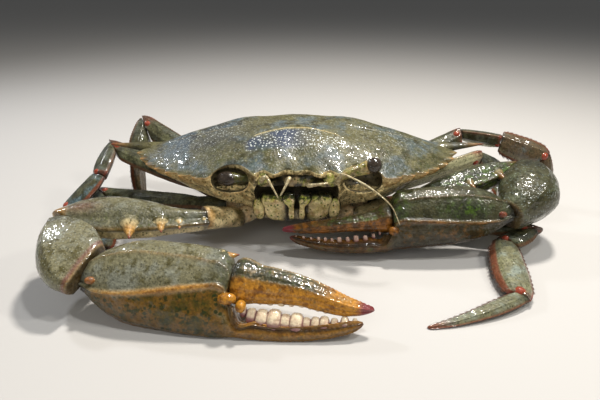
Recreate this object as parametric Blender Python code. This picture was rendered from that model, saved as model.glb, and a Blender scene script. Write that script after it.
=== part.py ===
"""A life-size blue crab, Callinectes sapidus, an adult female at rest on its legs and one claw.

Lengths are in millimetres and become metres when a mesh is made. The crab faces -Y, its left side is +X,
and the floor is z = 0. The points below are written from the floor under the middle of the line between
the two lateral spines, and HOME carries them to the centre of the footprint.
"""

import math

import bmesh
import bpy
import numpy as np
from mathutils import Matrix, Vector

MM = 0.001
GAP = 0.3
HALF_GAP = GAP / 2
FLOOR = 0.0
HOME = Vector((-9.4, -4.7, 0.0))

# Driving sizes of the shell.
SPINE_TIP_X = 81.5
BACK_TOP_Z = 45.2
BELLY_Z = 15.0
RIM_THICKNESS = 1.4
UNDER_BULGE = 2.4
BACK_CENTRE = (0.0, 4.0)
BACK_ROUNDNESS = 2.3

COLOURS = {
    "back": ("#4E564A", 0.35),
    "belly": ("#C9B48C", 0.45),
    "claw": ("#5D6350", 0.35),
    "leg": ("#4C5B4C", 0.35),
    "finger": ("#A3703A", 0.35),
    "eye": ("#2A2622", 0.12),
    "feeler": ("#9A8F74", 0.5),
    "mouth": ("#C7BD95", 0.45),
}


def clear_scene():
    for thing in list(bpy.data.objects):
        bpy.data.objects.remove(thing)


def linear(hex_colour):
    """An sRGB hex colour as linear RGBA."""
    channels = [int(hex_colour[i : i + 2], 16) / 255 for i in (1, 3, 5)]
    return [c / 12.92 if c <= 0.04045 else ((c + 0.055) / 1.055) ** 2.4 for c in channels] + [1.0]


def finish_material(slot):
    name = f"shell_{slot}"
    if name in bpy.data.materials:
        return bpy.data.materials[name]
    colour, roughness = COLOURS[slot]
    material = bpy.data.materials.new(name)
    material.use_nodes = True
    shader = material.node_tree.nodes["Principled BSDF"]
    shader.inputs["Base Color"].default_value = linear(colour)
    shader.inputs["Roughness"].default_value = roughness
    shader.inputs["Metallic"].default_value = 0.0
    return material


def unit(vector):
    return Vector(vector).normalized()


def mesh_object(name, points, faces):
    """A closed mesh in metres from points in millimetres."""
    mesh = bpy.data.meshes.new(name)
    mesh.from_pydata([Vector(p) * MM for p in points], [], faces)
    body = bpy.data.objects.new(name, mesh)
    bpy.context.scene.collection.objects.link(body)
    working = bmesh.new()
    working.from_mesh(mesh)
    bmesh.ops.remove_doubles(working, verts=working.verts, dist=1e-7)
    bmesh.ops.recalc_face_normals(working, faces=working.faces)
    working.to_mesh(mesh)
    working.free()
    return body


def stitch(rings, closed_ends=True):
    """Points and faces of a skin over equal rings, with a flat face over each end."""
    count = len(rings[0])
    points = [p for ring in rings for p in ring]
    faces = []
    for r in range(len(rings) - 1):
        for i in range(count):
            j = (i + 1) % count
            low, high = r * count, (r + 1) * count
            faces.append((low + i, low + j, high + j, high + i))
    if closed_ends:
        faces.append(tuple(range(count))[::-1])
        faces.append(tuple(range((len(rings) - 1) * count, len(rings) * count)))
    return points, faces


def eased_rows(rows, count):
    """Rows read along a smooth curve through the given rows. The first column is the place along it."""
    rows = np.array(rows, float)
    place = rows[:, 0]
    slopes = np.gradient(rows, place, axis=0)
    wanted = np.linspace(place[0], place[-1], count)
    eased = []
    for s in wanted:
        k = min(max(int(np.searchsorted(place, s, side="right")) - 1, 0), len(place) - 2)
        span = place[k + 1] - place[k]
        t = (s - place[k]) / span
        a, b = 2 * t**3 - 3 * t**2 + 1, t**3 - 2 * t**2 + t
        c, d = 3 * t**2 - 2 * t**3, t**3 - t**2
        eased.append(a * rows[k] + b * span * slopes[k] + c * rows[k + 1] + d * span * slopes[k + 1])
        eased[-1][0] = s
    return eased


def frame_of(start, end, broad):
    """Origin, length, and the along, broad and flat axes of a limb piece."""
    start, end = Vector(start), Vector(end)
    along = (end - start).normalized()
    broad = Vector(broad)
    broad = (broad - broad.dot(along) * along).normalized()
    return start, (end - start).length, along, broad, along.cross(broad)


def section_point(angle, half_broad, half_flat, squareness, ridges):
    """A point of a cross-section: a superellipse with raised ridges at given angles."""
    c, s = math.cos(angle), math.sin(angle)
    power = 2.0 / squareness
    x = half_broad * math.copysign(abs(c) ** power, c)
    y = half_flat * math.copysign(abs(s) ** power, s)
    lift = 0.0
    for at, height, width in ridges:
        off = (math.degrees(angle) - at + 180.0) % 360.0 - 180.0
        lift += height * math.exp(-((off / width) ** 2))
    reach = math.hypot(x, y) or 1.0
    return x * (1 + lift / reach), y * (1 + lift / reach)


def loft(start, end, broad, rows, sides, rings, squareness=2.0, ridges=()):
    """Rings of a limb piece. A row is place along it, half breadth, half thickness, and the shift of the
    middle along the broad and the flat axis, all but the first in millimetres."""
    origin, length, along, broad, flat = frame_of(start, end, broad)
    made = []
    for place, half_broad, half_flat, to_broad, to_flat in eased_rows(rows, rings):
        middle = origin + along * length * place + broad * to_broad + flat * to_flat
        ring = []
        for i in range(sides):
            x, y = section_point(
                2 * math.pi * i / sides, max(half_broad, 0.2), max(half_flat, 0.2), squareness, ridges
            )
            ring.append(middle + broad * x + flat * y)
        made.append(ring)
    return made


def cone(base, tip, radius, sides=7, flatness=1.0):
    """A spine with its root at base and its point at tip, a little blunt. Flatness thins it upwards."""
    along = unit(Vector(tip) - Vector(base))
    across = along.cross(Vector((0, 0, 1)))
    across = across.normalized() if across.length > 0.05 else Vector((1, 0, 0))
    other = along.cross(across) * flatness
    rings = []
    for place, share in ((0.0, 1.0), (0.55, 0.62), (1.0, 0.09)):
        middle = Vector(base).lerp(Vector(tip), place)
        turn = [2 * math.pi * i / sides for i in range(sides)]
        reach = radius * share
        rings.append([middle + (across * math.cos(a) + other * math.sin(a)) * reach for a in turn])
    return mesh_object("cone", *stitch(rings))


def ball(centre, radii, detail=1, name="ball"):
    """A faceted ellipsoid."""
    working = bmesh.new()
    bmesh.ops.create_icosphere(working, subdivisions=detail, radius=1.0)
    points = [v.co * Vector(radii) + Vector(centre) for v in working.verts]
    faces = [tuple(v.index for v in f.verts) for f in working.faces]
    working.free()
    return mesh_object(name, points, faces)


def block(low, high, name="block"):
    """An upright box between two corners."""
    points = [(x, y, z) for x in (low[0], high[0]) for y in (low[1], high[1]) for z in (low[2], high[2])]
    faces = [(0, 1, 3, 2), (4, 6, 7, 5), (0, 4, 5, 1), (2, 3, 7, 6), (0, 2, 6, 4), (1, 5, 7, 3)]
    return mesh_object(name, points, faces)


def combine(body, others, operation):
    """Applies one Boolean of all the others to body, and removes them."""
    group = bpy.data.collections.new("pieces")
    for other in others:
        group.objects.link(other)
    step = body.modifiers.new("combine", "BOOLEAN")
    step.operation = operation
    step.operand_type = "COLLECTION"
    step.collection = group
    step.solver = "EXACT"
    graph = bpy.context.evaluated_depsgraph_get()
    made = bpy.data.meshes.new_from_object(body.evaluated_get(graph))
    body.modifiers.clear()
    body.data = made
    for other in others:
        bpy.data.objects.remove(other)
    bpy.data.collections.remove(group)
    keep_largest(body)
    return body


def keep_largest(body):
    """Keeps only the largest closed surface of the mesh."""
    working = bmesh.new()
    working.from_mesh(body.data)
    left = set(working.faces)
    shells = []
    while left:
        queue = [left.pop()]
        shell = set(queue)
        while queue:
            for edge in queue.pop().edges:
                for face in edge.link_faces:
                    if face in left:
                        left.discard(face)
                        shell.add(face)
                        queue.append(face)
        shells.append(shell)
    largest = max(shells, key=lambda shell: sum(face.calc_area() for face in shell))
    loose = [face for shell in shells if shell is not largest for face in shell]
    bmesh.ops.delete(working, geom=loose, context="FACES")
    working.to_mesh(body.data)
    working.free()


def slice_off(body, point, outward):
    """Cuts away all of the mesh on the outward side of a plane, and closes it with a flat face."""
    working = bmesh.new()
    working.from_mesh(body.data)
    everything = list(working.verts) + list(working.edges) + list(working.faces)
    bmesh.ops.bisect_plane(
        working, geom=everything, dist=1e-7, plane_co=Vector(point) * MM, plane_no=outward, clear_outer=True
    )
    rim = [edge for edge in working.edges if edge.is_boundary]
    if rim:
        bmesh.ops.holes_fill(working, edges=rim, sides=0)
        bmesh.ops.recalc_face_normals(working, faces=working.faces)
    working.to_mesh(body.data)
    working.free()
    keep_largest(body)


def joint_normal(before, at, after):
    """The normal of the plane that halves the bend at a joint."""
    return (unit(Vector(at) - Vector(before)) + unit(Vector(after) - Vector(at))).normalized()


def settle_on_floor(body):
    """A small flat at floor level under what would reach below it."""
    if min(v.co.z for v in body.data.vertices) < FLOOR:
        slice_off(body, (0, 0, FLOOR), (0, 0, -1))


def add_node(body, name, slot):
    body.name = name
    body.data.name = name
    body.data.materials.clear()
    body.data.materials.append(finish_material(slot))
    body.data.shade_smooth()
    body.data.set_sharp_from_angle(angle=math.radians(40))
    return body


# The back shell: its rim runs from the middle of the brow to the middle of the rear, right half (+X) first.
HALF_RIM = (
    (0.0, -29.4, 34.4),
    (4.2, -29.0, 34.5),
    (8.6, -32.4, 34.0),
    (12.6, -30.0, 34.4),
    (16.6, -32.0, 34.2),
    (18.8, -29.2, 34.4),
    (22.6, -26.8, 34.8),
    (27.6, -26.6, 34.4),
    (31.6, -28.4, 33.2),
    (34.2, -31.0, 32.0),
    (40.0, -28.2, 32.0),
    (46.0, -25.8, 32.0),
    (52.2, -22.0, 32.0),
    (57.8, -17.0, 32.2),
    (62.4, -11.0, 32.6),
    (66.0, -4.4, 33.2),
    (68.0, 2.4, 33.8),
    (63.6, 8.4, 33.2),
    (55.8, 13.2, 32.2),
    (46.0, 19.4, 31.6),
    (36.0, 26.8, 31.2),
    (29.0, 34.0, 31.0),
    (23.0, 38.6, 31.2),
    (12.0, 39.4, 31.8),
    (0.0, 38.8, 32.0),
)
TOP_RINGS = (0.0, 0.16, 0.32, 0.48, 0.62, 0.74, 0.84, 0.92, 0.97, 1.0)
BELLY_RINGS = (0.0, 0.25, 0.5, 0.75, 1.0)
BELLY_HALF_WIDTH = 29.0
BELLY_HALF_LENGTH = 29.5
BELLY_CENTRE_Y = 6.0
# Low swellings of the back: place, reach and height of the gastric, cardiac and gill regions.
SWELLINGS = (
    (0.0, -12.0, 17.0, 10.0, 0.9),
    (0.0, 17.0, 9.0, 9.0, 0.5),
    (25.0, 13.0, 12.0, 13.0, 2.2),
    (-25.0, 13.0, 12.0, 13.0, 2.2),
    (44.0, 0.0, 10.0, 10.0, 0.5),
    (-44.0, 0.0, 10.0, 10.0, 0.5),
)
# Rim teeth, from the one behind the eye to the last before the spine: root on the rim and length.
RIM_TEETH = (
    (38.4, -28.6, 3.0),
    (44.2, -26.2, 3.2),
    (49.8, -23.2, 3.4),
    (54.8, -19.2, 3.6),
    (59.2, -14.6, 3.8),
    (62.8, -9.4, 4.0),
    (65.4, -3.8, 4.2),
)
TOOTH_ROOT_Z = 31.6
TOOTH_HALF_WIDTH = 2.6
TOOTH_FLATNESS = 0.5
LATERAL_SPINE_RADIUS = 3.6


def rim_points():
    half = [Vector(p) for p in HALF_RIM]
    other = [Vector((-p.x, p.y, p.z)) for p in half[-2:0:-1]]
    return half + other


def back_height(x, y, rim_z, share):
    """Height of the back at a share of the way from its middle to the rim."""
    base = rim_z + (BACK_TOP_Z - rim_z) * (1 - share**BACK_ROUNDNESS)
    fade = 1 - share**4
    for cx, cy, reach_x, reach_y, height in SWELLINGS:
        base += fade * height * math.exp(-(((x - cx) / reach_x) ** 2) - ((y - cy) / reach_y) ** 2)
    return base


def belly_point(rim):
    """Where the line inward from a rim point meets the flat belly."""
    dx, dy = rim.x, rim.y - BELLY_CENTRE_Y
    reach = ((abs(dx) / BELLY_HALF_WIDTH) ** 3 + (abs(dy) / BELLY_HALF_LENGTH) ** 3) ** (1 / 3)
    return Vector((dx / reach, BELLY_CENTRE_Y + dy / reach, BELLY_Z))


def smoothed(ring, passes):
    """The ring with its corners rounded off."""
    for _ in range(passes):
        ring = [(ring[i - 1] + ring[i] * 2 + ring[(i + 1) % len(ring)]) / 4 for i in range(len(ring))]
    return ring


def shell_rings():
    rim = rim_points()
    soft_rim = smoothed(rim, 12)
    cx, cy = BACK_CENTRE
    rings = []
    for share in TOP_RINGS:
        ring = []
        for p, soft in zip(rim, soft_rim):
            p = soft.lerp(p, share**5)
            reach = max(share, 0.02)
            x, y = cx + (p.x - cx) * reach, cy + (p.y - cy) * reach
            ring.append(Vector((x, y, back_height(x, y, p.z, share))))
        rings.append(ring)
    for share in BELLY_RINGS:
        ring = []
        for p in rim:
            edge, foot = p - Vector((0, 0, RIM_THICKNESS)), belly_point(p)
            inward = Vector((foot.x - edge.x, foot.y - edge.y, 0))
            swell = (inward.normalized() * (foot.z - edge.z) - Vector((0, 0, inward.length))).normalized()
            ring.append(edge.lerp(foot, share) + swell * UNDER_BULGE * math.sin(math.pi * share))
        rings.append(ring)
    return rings


def make_carapace():
    shell = mesh_object("carapace", *stitch(shell_rings()))
    spikes = []
    for side in (-1, 1):
        for x, y, length in RIM_TEETH:
            outward = unit((x * 0.9, y - 8.0, 1.0))
            root = Vector((x, y, TOOTH_ROOT_Z)) - outward * 2.6
            tip = Vector((x, y, TOOTH_ROOT_Z)) + outward * length
            root.x, tip.x = root.x * side, tip.x * side
            spikes.append(cone(root, tip, TOOTH_HALF_WIDTH, 6, TOOTH_FLATNESS))
        base, tip = (58.0 * side, 2.8, 32.8), (SPINE_TIP_X * side, 0.0, 35.6)
        spikes.append(cone(base, tip, LATERAL_SPINE_RADIUS, 8, 0.7))
    combine(shell, spikes, "UNION")
    hollows = [block((-17.6, -50.0, 5.0), (17.6, -23.2, 32.4))]
    for side in (-1, 1):
        socket = block((18.6, -50.0, 26.9), (32.8, -22.6, 33.4))
        soften = socket.modifiers.new("soften", "BEVEL")
        soften.width = 1.2 * MM
        soften.segments = 2
        graph = bpy.context.evaluated_depsgraph_get()
        rounded = bpy.data.meshes.new_from_object(socket.evaluated_get(graph))
        socket.modifiers.clear()
        socket.data = rounded
        if side < 0:
            socket.data.transform(Matrix.Diagonal((-1, 1, 1, 1)))
            socket.data.flip_normals()
        hollows.append(socket)
    combine(shell, hollows, "DIFFERENCE")
    add_node(shell, "carapace", "back")


# Under the shell: the breastplate with a short coxa for each limb, and the folded tail under it.
COXA_RADIUS = 4.2
COXA_ROWS = ((0, 3.6, 2.6, 0, 0), (0.7, COXA_RADIUS, 3.6, 0, 0), (1.12, 3.4, 3.2, 0, 0))
LIMB_ROOTS = {
    "cheliped": (24.0, -21.5, 11.0),
    "leg1": (31.0, -9.5, 10.4),
    "leg2": (33.5, 2.5, 10.4),
    "leg3": (31.5, 14.5, 10.8),
    "swimmer": (25.5, 27.0, 11.2),
}
PLATE_BOTTOM_Z = 8.0


def root_of(limb, side):
    x, y, z = LIMB_ROOTS[limb]
    return Vector((x * side, y, z))


def inner_end(limb, side):
    """The end of a limb's coxa that is sunk in the breastplate."""
    x, y, z = LIMB_ROOTS[limb]
    return Vector((x * 0.55 * side, y * 0.6 + 2.0, z + 1.0))


def make_thorax():
    rings = []
    for z, share in ((PLATE_BOTTOM_Z, 0.80), (9.6, 0.92), (BELLY_Z - GAP, 0.93)):
        ring = []
        for p in rim_points()[::2]:
            foot = belly_point(p)
            y = max(BELLY_CENTRE_Y + (foot.y - BELLY_CENTRE_Y) * share, -21.8)
            ring.append(Vector((foot.x * share, y, z)))
        rings.append(ring)
    plate = mesh_object("thorax", *stitch(rings))
    stubs = []
    for limb in LIMB_ROOTS:
        for side in (-1, 1):
            inner, root = inner_end(limb, side), root_of(limb, side)
            stubs.append(mesh_object("coxa", *stitch(loft(inner, root, (0, 1, 0), COXA_ROWS, 8, 3))))
    combine(plate, stubs, "UNION")
    slice_off(plate, (0, 0, BELLY_Z - GAP), (0, 0, 1))
    for limb, side, nearest in limb_starts():
        root = root_of(limb, side)
        normal = joint_normal(inner_end(limb, side), root, nearest)
        trim_near(plate, root, normal, COXA_RADIUS * 2.4)
    add_node(plate, "thorax", "belly")


def trim_near(body, point, normal, reach):
    """Takes a slab off the end of a stub, so that the limb's root can meet it with a gap."""
    cutter = block((-reach, -reach, -HALF_GAP), (reach, reach, reach))
    turn = Vector((0, 0, 1)).rotation_difference(normal).to_matrix().to_4x4()
    cutter.data.transform(Matrix.Translation(Vector(point) * MM) @ turn)
    combine(body, [cutter], "DIFFERENCE")


def make_abdomen():
    """The broad folded tail of an adult female, six segments and the tip."""
    rows = []
    edges = (34.0, 27.5, 21.0, 14.5, 8.5, 3.0, -2.5, -9.5)
    widths = (19.0, 20.5, 20.0, 18.5, 16.5, 14.0, 9.5, 2.2)
    for k, (y, half) in enumerate(zip(edges, widths)):
        rows.append((y, half, 3.0))
        if 0 < k < len(edges) - 1:
            rows.append((y - 0.9, half - 0.5, 2.2))
    rings = []
    for y, half, depth in rows:
        ring = []
        for i in range(9):
            a = math.pi * i / 8
            z = PLATE_BOTTOM_Z - GAP - depth * math.sin(a) ** 0.7
            ring.append(Vector((half * math.cos(a), y, z)))
        rings.append(ring)
    add_node(mesh_object("abdomen", *stitch(rings)), "abdomen", "belly")


# The face: the epistome bar, the third maxillipeds over the mouth, the eyes and the feelers.
FACE_FRONT_Y = -28.0
FACE_BACK_Y = -23.2


def make_face():
    bar = block((-17.2, FACE_FRONT_Y, 27.0), (17.2, FACE_BACK_Y - GAP, 32.0))
    pits = [ball((x, FACE_FRONT_Y - 0.6, 31.4), (5.4, 2.6, 2.2), 2) for x in (-8.6, 8.6)]
    combine(bar, pits, "DIFFERENCE")
    add_node(bar, "epistome", "mouth")


def make_maxilliped(side, name):
    """A flat mouth limb: a broad inner blade with its palp and the slender outer branch."""
    back = FACE_BACK_Y - GAP
    blade = loft(
        (7.4 * side, back - 1.0, 11.6),
        (7.4 * side, back - 1.4, 24.2),
        (side, 0, 0),
        (
            (0, 3.4, 1.8, -1.6, 0),
            (0.12, 5.4, 3.1, -0.8, 0),
            (0.5, 6.7, 3.6, 0, 0),
            (0.9, 6.7, 3.4, 0, 0),
            (1, 5.2, 2.2, 0, 0),
        ),
        14,
        7,
        2.8,
    )
    branch = loft(
        (13.8 * side, back - 1.0, 13.4),
        (15.0 * side, back - 1.2, 22.0),
        (side, 0, 0),
        ((0, 1.2, 1.6, 0, 0), (0.2, 2.2, 2.8, 0, 0), (0.8, 2.1, 2.8, 0, 0), (1, 1.0, 1.6, 0, 0)),
        8,
        5,
        2.4,
    )
    palp = loft(
        (3.2 * side, back - 5.0, 15.2),
        (3.0 * side, back - 4.6, 24.6),
        (side, 0, 0),
        ((0, 1.0, 0.9, 0, 0), (0.3, 1.6, 1.4, 0, 0), (0.85, 2.1, 1.6, 0, 0), (1, 1.1, 1.0, 0, 0)),
        8,
        5,
    )
    body = mesh_object(name, *stitch(blade))
    extras = [mesh_object("branch", *stitch(branch)), mesh_object("palp", *stitch(palp))]
    combine(body, extras, "UNION")
    slice_off(body, (0, back, 0), (0, 1, 0))
    add_node(body, name, "mouth")


EYES = {
    "right": (-1, (-19.0, -26.4, 30.2), (-27.4, -26.2, 30.2)),
    "left": (1, (19.0, -30.4, 30.0), (28.9, -32.4, 38.0)),
}
CORNEA_RADIUS = 2.9
STALK_RADIUS = 1.9


def make_eye(word):
    side, root, cornea = EYES[word]
    along = unit(Vector(cornea) - Vector(root))
    seam = Vector(cornea) - along * 1.4
    rows = ((-0.2, STALK_RADIUS, STALK_RADIUS, 0, 0), (0.5, 1.9, 1.9, 0, 0), (1.2, 2.6, 2.6, 0, 0))
    stalk = mesh_object("stalk", *stitch(loft(root, cornea, (0, 0, 1), rows, 10, 5)))
    slice_off(stalk, seam - along * HALF_GAP, along)
    slice_off(stalk, root, (-side, 0, 0))
    add_node(stalk, f"eyestalk_{word}", "mouth")
    bulb = ball(cornea, (CORNEA_RADIUS,) * 3, 2)
    slice_off(bulb, seam + along * HALF_GAP, -along)
    add_node(bulb, f"eye_{word}", "eye")


FEELERS = {
    "antenna_left": (
        ((15.0, FACE_FRONT_Y - GAP, 29.4), 1.3),
        ((15.4, -30.6, 29.6), 1.2),
        ((16.6, -34.2, 32.4), 0.9),
        ((21.0, -37.0, 33.4), 0.5),
        ((27.0, -41.0, 32.8), 0.4),
        ((32.0, -44.0, 30.4), 0.34),
        ((35.6, -46.0, 26.2), 0.3),
        ((37.4, -46.6, 21.6), 0.22),
    ),
    "antenna_right": (
        ((-14.8, FACE_FRONT_Y - GAP, 29.4), 1.3),
        ((-14.8, -30.4, 29.8), 1.2),
        ((-13.6, -32.0, 31.2), 0.8),
        ((-11.0, -33.0, 29.4), 0.45),
        ((-8.6, -33.4, 26.4), 0.25),
    ),
    "antennule_right": (
        ((-4.6, FACE_FRONT_Y - GAP, 28.6), 1.1),
        ((-4.2, -30.2, 29.2), 1.0),
        ((-3.6, -32.4, 30.4), 0.8),
        ((-4.8, -34.6, 28.2), 0.6),
        ((-6.6, -35.2, 24.8), 0.3),
    ),
    "antennule_left": (
        ((4.6, FACE_FRONT_Y - GAP, 28.6), 1.1),
        ((4.8, -30.4, 29.0), 1.0),
        ((6.6, -32.4, 30.0), 0.8),
        ((9.6, -32.8, 30.6), 0.6),
        ((12.0, -32.2, 30.8), 0.3),
    ),
}


def make_feeler(name, route):
    """A round tapering feeler whose root is flat against the face."""
    table = [(k, *point, radius) for k, (point, radius) in enumerate(route)]
    rings = []
    steps = eased_rows(table, 3 * len(route))
    for k, (_, x, y, z, radius) in enumerate(steps):
        before, after = steps[max(k - 1, 0)], steps[min(k + 1, len(steps) - 1)]
        along = unit((after[1] - before[1], after[2] - before[2], after[3] - before[3]))
        if k == 0:
            along = Vector((0, -1, 0))
        across = (Vector((0, 0, 1)) - along * along.z).normalized()
        other = along.cross(across)
        turn = [2 * math.pi * i / 5 for i in range(5)]
        middle = Vector((x, y, z))
        rings.append([middle + (across * math.cos(a) + other * math.sin(a)) * radius for a in turn])
    add_node(mesh_object(name, *stitch(rings)), name, "feeler")


# Limb joints, from the root on the coxa outwards. Right is the crab's own right, at -X.
JOINTS = {
    ("leg1", -1): ((-90.8, 1.5, 11.0), (-87.0, -17.5, 8.5), (-76.0, -39.5, 4.5), (-47.0, -56.0, 0.3)),
    ("leg2", -1): ((-87.3, 15.5, 29.0), (-88.1, -1.1, 21.0), (-101.0, -10.0, 9.0), (-94.0, -37.0, 0.3)),
    ("leg3", -1): ((-77.2, 35.9, 34.8), (-79.5, 25.7, 24.0), (-77.0, 14.3, 3.6), (-79.0, -10.0, 0.3)),
    ("leg1", 1): ((95.8, -27.4, 7.0), (82.9, -33.0, 5.0), (76.2, -65.6, 2.6), (41.7, -78.4, 0.3)),
    ("leg2", 1): ((84.9, 12.8, 25.0), (98.2, 21.0, 17.0), (100.0, 5.0, 4.2), (76.0, -9.0, 0.3)),
    ("leg3", 1): ((79.9, 25.6, 32.0), (96.4, 18.4, 31.0), (117.9, 15.6, 24.0), (118.6, 7.6, 0.3)),
    ("swimmer", -1): ((-46.0, 40.0, 19.0), (-56.0, 50.0, 15.0), (-56.0, 69.0, 5.6), (-44.0, 94.0, 1.0)),
    ("swimmer", 1): ((46.0, 40.0, 19.0), (56.0, 50.0, 15.0), (56.0, 69.0, 5.6), (44.0, 94.0, 1.0)),
}
LEG_PARTS = ("merus", "carpus", "propodus", "dactyl")
SWIMMER_PARTS = ("merus", "carpus", "propodus", "paddle")
# Rows: place along the piece, half breadth, half thickness, shift along the broad and flat axes.
LEG_ROWS = {
    "merus": (
        (-0.06, 3.4, 3.0, 0, 0),
        (0.0, 3.8, 3.2, 0, 0),
        (0.16, 3.9, 3.0, 0, 0),
        (0.21, 3.4, 2.6, 0, 0),
        (0.3, 4.1, 2.9, 0, 0),
        (0.6, 4.9, 3.0, 0.2, 0),
        (0.88, 4.4, 2.8, 0.2, 0),
        (1.0, 3.8, 2.7, 0, 0),
        (1.08, 2.2, 1.8, 0, 0),
    ),
    "carpus": (
        (-0.14, 2.0, 1.6, 0, 0),
        (0.0, 3.0, 2.2, 0, 0),
        (0.4, 4.6, 2.9, 0.6, 0),
        (0.85, 4.4, 2.8, 0.3, 0),
        (1.0, 3.7, 2.5, 0, 0),
        (1.12, 2.0, 1.6, 0, 0),
    ),
    "propodus": (
        (-0.12, 2.0, 1.4, 0, 0),
        (0.0, 3.4, 2.0, 0, 0),
        (0.3, 5.6, 2.5, 0.5, 0),
        (0.7, 5.6, 2.4, 0.5, 0),
        (0.95, 4.0, 2.1, 0, 0),
        (1.0, 3.4, 2.0, 0, 0),
        (1.1, 1.8, 1.4, 0, 0),
    ),
    "dactyl": (
        (-0.1, 1.6, 1.2, 0, 0),
        (0.0, 2.6, 1.7, 0, 0),
        (0.2, 3.0, 1.9, -0.7, 0),
        (0.55, 2.2, 1.4, -1.3, 0),
        (0.85, 1.1, 0.8, -0.8, 0),
        (1.0, 0.45, 0.4, 0, 0),
    ),
}
SWIMMER_ROWS = {
    "merus": (
        (-0.1, 3.2, 3.0, 0, 0),
        (0.0, 3.8, 3.2, 0, 0),
        (0.3, 5.6, 3.2, 0, 0),
        (0.75, 6.2, 3.0, 0, 0),
        (1.0, 4.0, 2.6, 0, 0),
        (1.15, 2.4, 1.8, 0, 0),
    ),
    "carpus": (
        (-0.15, 2.2, 1.8, 0, 0),
        (0.0, 3.2, 2.2, 0, 0),
        (0.5, 4.9, 2.6, 0, 0),
        (1.0, 3.8, 2.2, 0, 0),
        (1.15, 2.2, 1.6, 0, 0),
    ),
    "propodus": (
        (-0.12, 2.4, 1.4, 0, 0),
        (0.0, 3.4, 1.8, 0, 0),
        (0.45, 6.2, 1.9, 0, 0),
        (0.8, 6.0, 1.6, 0, 0),
        (1.0, 4.2, 1.3, 0, 0),
        (1.1, 2.4, 1.0, 0, 0),
    ),
    "paddle": (
        (-0.06, 2.0, 0.8, 0, 0),
        (0.0, 3.2, 1.0, 0, 0),
        (0.3, 7.4, 1.1, 0, 0),
        (0.6, 8.4, 1.0, 0, 0),
        (0.85, 6.2, 0.8, 0, 0),
        (0.97, 2.8, 0.6, 0, 0),
        (1.0, 1.0, 0.45, 0, 0),
    ),
}
LEG_SIDES = 10
LEG_RINGS = {"merus": 10, "carpus": 7, "propodus": 8, "dactyl": 8, "paddle": 9}
SHARP_EDGED = 1.75


def limb_starts():
    """Each limb's name, its side, and the point that its first piece runs to."""
    for (limb, side), joints in JOINTS.items():
        yield limb, side, joints[0]
    for side, points in CLAW_JOINTS.items():
        yield "cheliped", side, points[0]


def side_word(side):
    return "left" if side > 0 else "right"


def bend_plane(before, at, after):
    """The broad axis of a piece that bends in the plane of three joints."""
    along = unit(Vector(at) - Vector(before))
    onward = unit(Vector(after) - Vector(at))
    hinge = along.cross(onward)
    if hinge.length < 0.15:
        hinge = along.cross(Vector((0, 0, 1)))
    return hinge.normalized()


def trim_to_joints(body, points, k, near_cut=None, far_cut=None):
    """Cuts piece k of a limb at the joints on both its ends, and leaves half the gap at each.

    A cut faces halfway between the two pieces that meet there, unless its own direction is given."""
    near = Vector(near_cut) if near_cut else joint_normal(points[k - 1], points[k], points[k + 1])
    near.normalize()
    slice_off(body, Vector(points[k]) + near * HALF_GAP, -near)
    if k + 2 < len(points):
        far = Vector(far_cut) if far_cut else joint_normal(points[k], points[k + 1], points[k + 2])
        far.normalize()
        slice_off(body, Vector(points[k + 1]) - far * HALF_GAP, far)


def make_leg(limb, side):
    points = [inner_end(limb, side), root_of(limb, side), *[Vector(p) for p in JOINTS[(limb, side)]]]
    swims = limb == "swimmer"
    rows_of = SWIMMER_ROWS if swims else LEG_ROWS
    for k, part in enumerate(SWIMMER_PARTS if swims else LEG_PARTS, start=1):
        start, end = points[k], points[k + 1]
        beyond = points[k + 2] if k + 2 < len(points) else end + (end - start)
        hinge = bend_plane(start, end, beyond) if k < 4 else bend_plane(points[k - 1], start, end)
        along = unit(end - start)
        broad = hinge.cross(along)
        if swims:
            broad = along.cross(Vector((0, 0, 1)))
        rings = loft(start, end, broad, rows_of[part], LEG_SIDES, LEG_RINGS[part], SHARP_EDGED)
        name = f"{limb}_{side_word(side)}_{part}"
        body = mesh_object(name, *stitch(rings))
        trim_to_joints(body, points, k)
        settle_on_floor(body)
        add_node(body, name, "leg")


# Claws: the joints at the far end of the ischium, the merus and the carpus, and the tip of the fixed finger.
CLAW_JOINTS = {
    -1: ((-36.0, -34.0, 17.0), (-82.0, -47.5, 21.5), (-68.0, -66.2, 12.3), (21.0, -81.5, 5.0)),
    1: ((40.0, -18.6, 14.8), (91.0, -8.4, 25.0), (82.6, -30.7, 16.5), (-3.0, -34.4, 9.0)),
}
# Which way the upper edge of each palm points, and which way each arm's and wrist's broad side lies.
PALM_UP = {-1: (0.0, 0.56, 0.83), 1: (0.0, 0.35, 0.94)}
ARM_BROAD = {-1: (0.0, -0.94, -0.34), 1: (0.0, -0.98, -0.2)}
WRIST_OUT = {-1: (-0.85, -0.1, 0.05), 1: (0.95, -0.1, 0.1)}
# The way that the cut between each wrist and its palm faces.
WRIST_CUT = {-1: (0.93, -0.34, -0.16), 1: (-0.8, -0.55, -0.24)}
PALM_SHARE = 0.53
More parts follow.
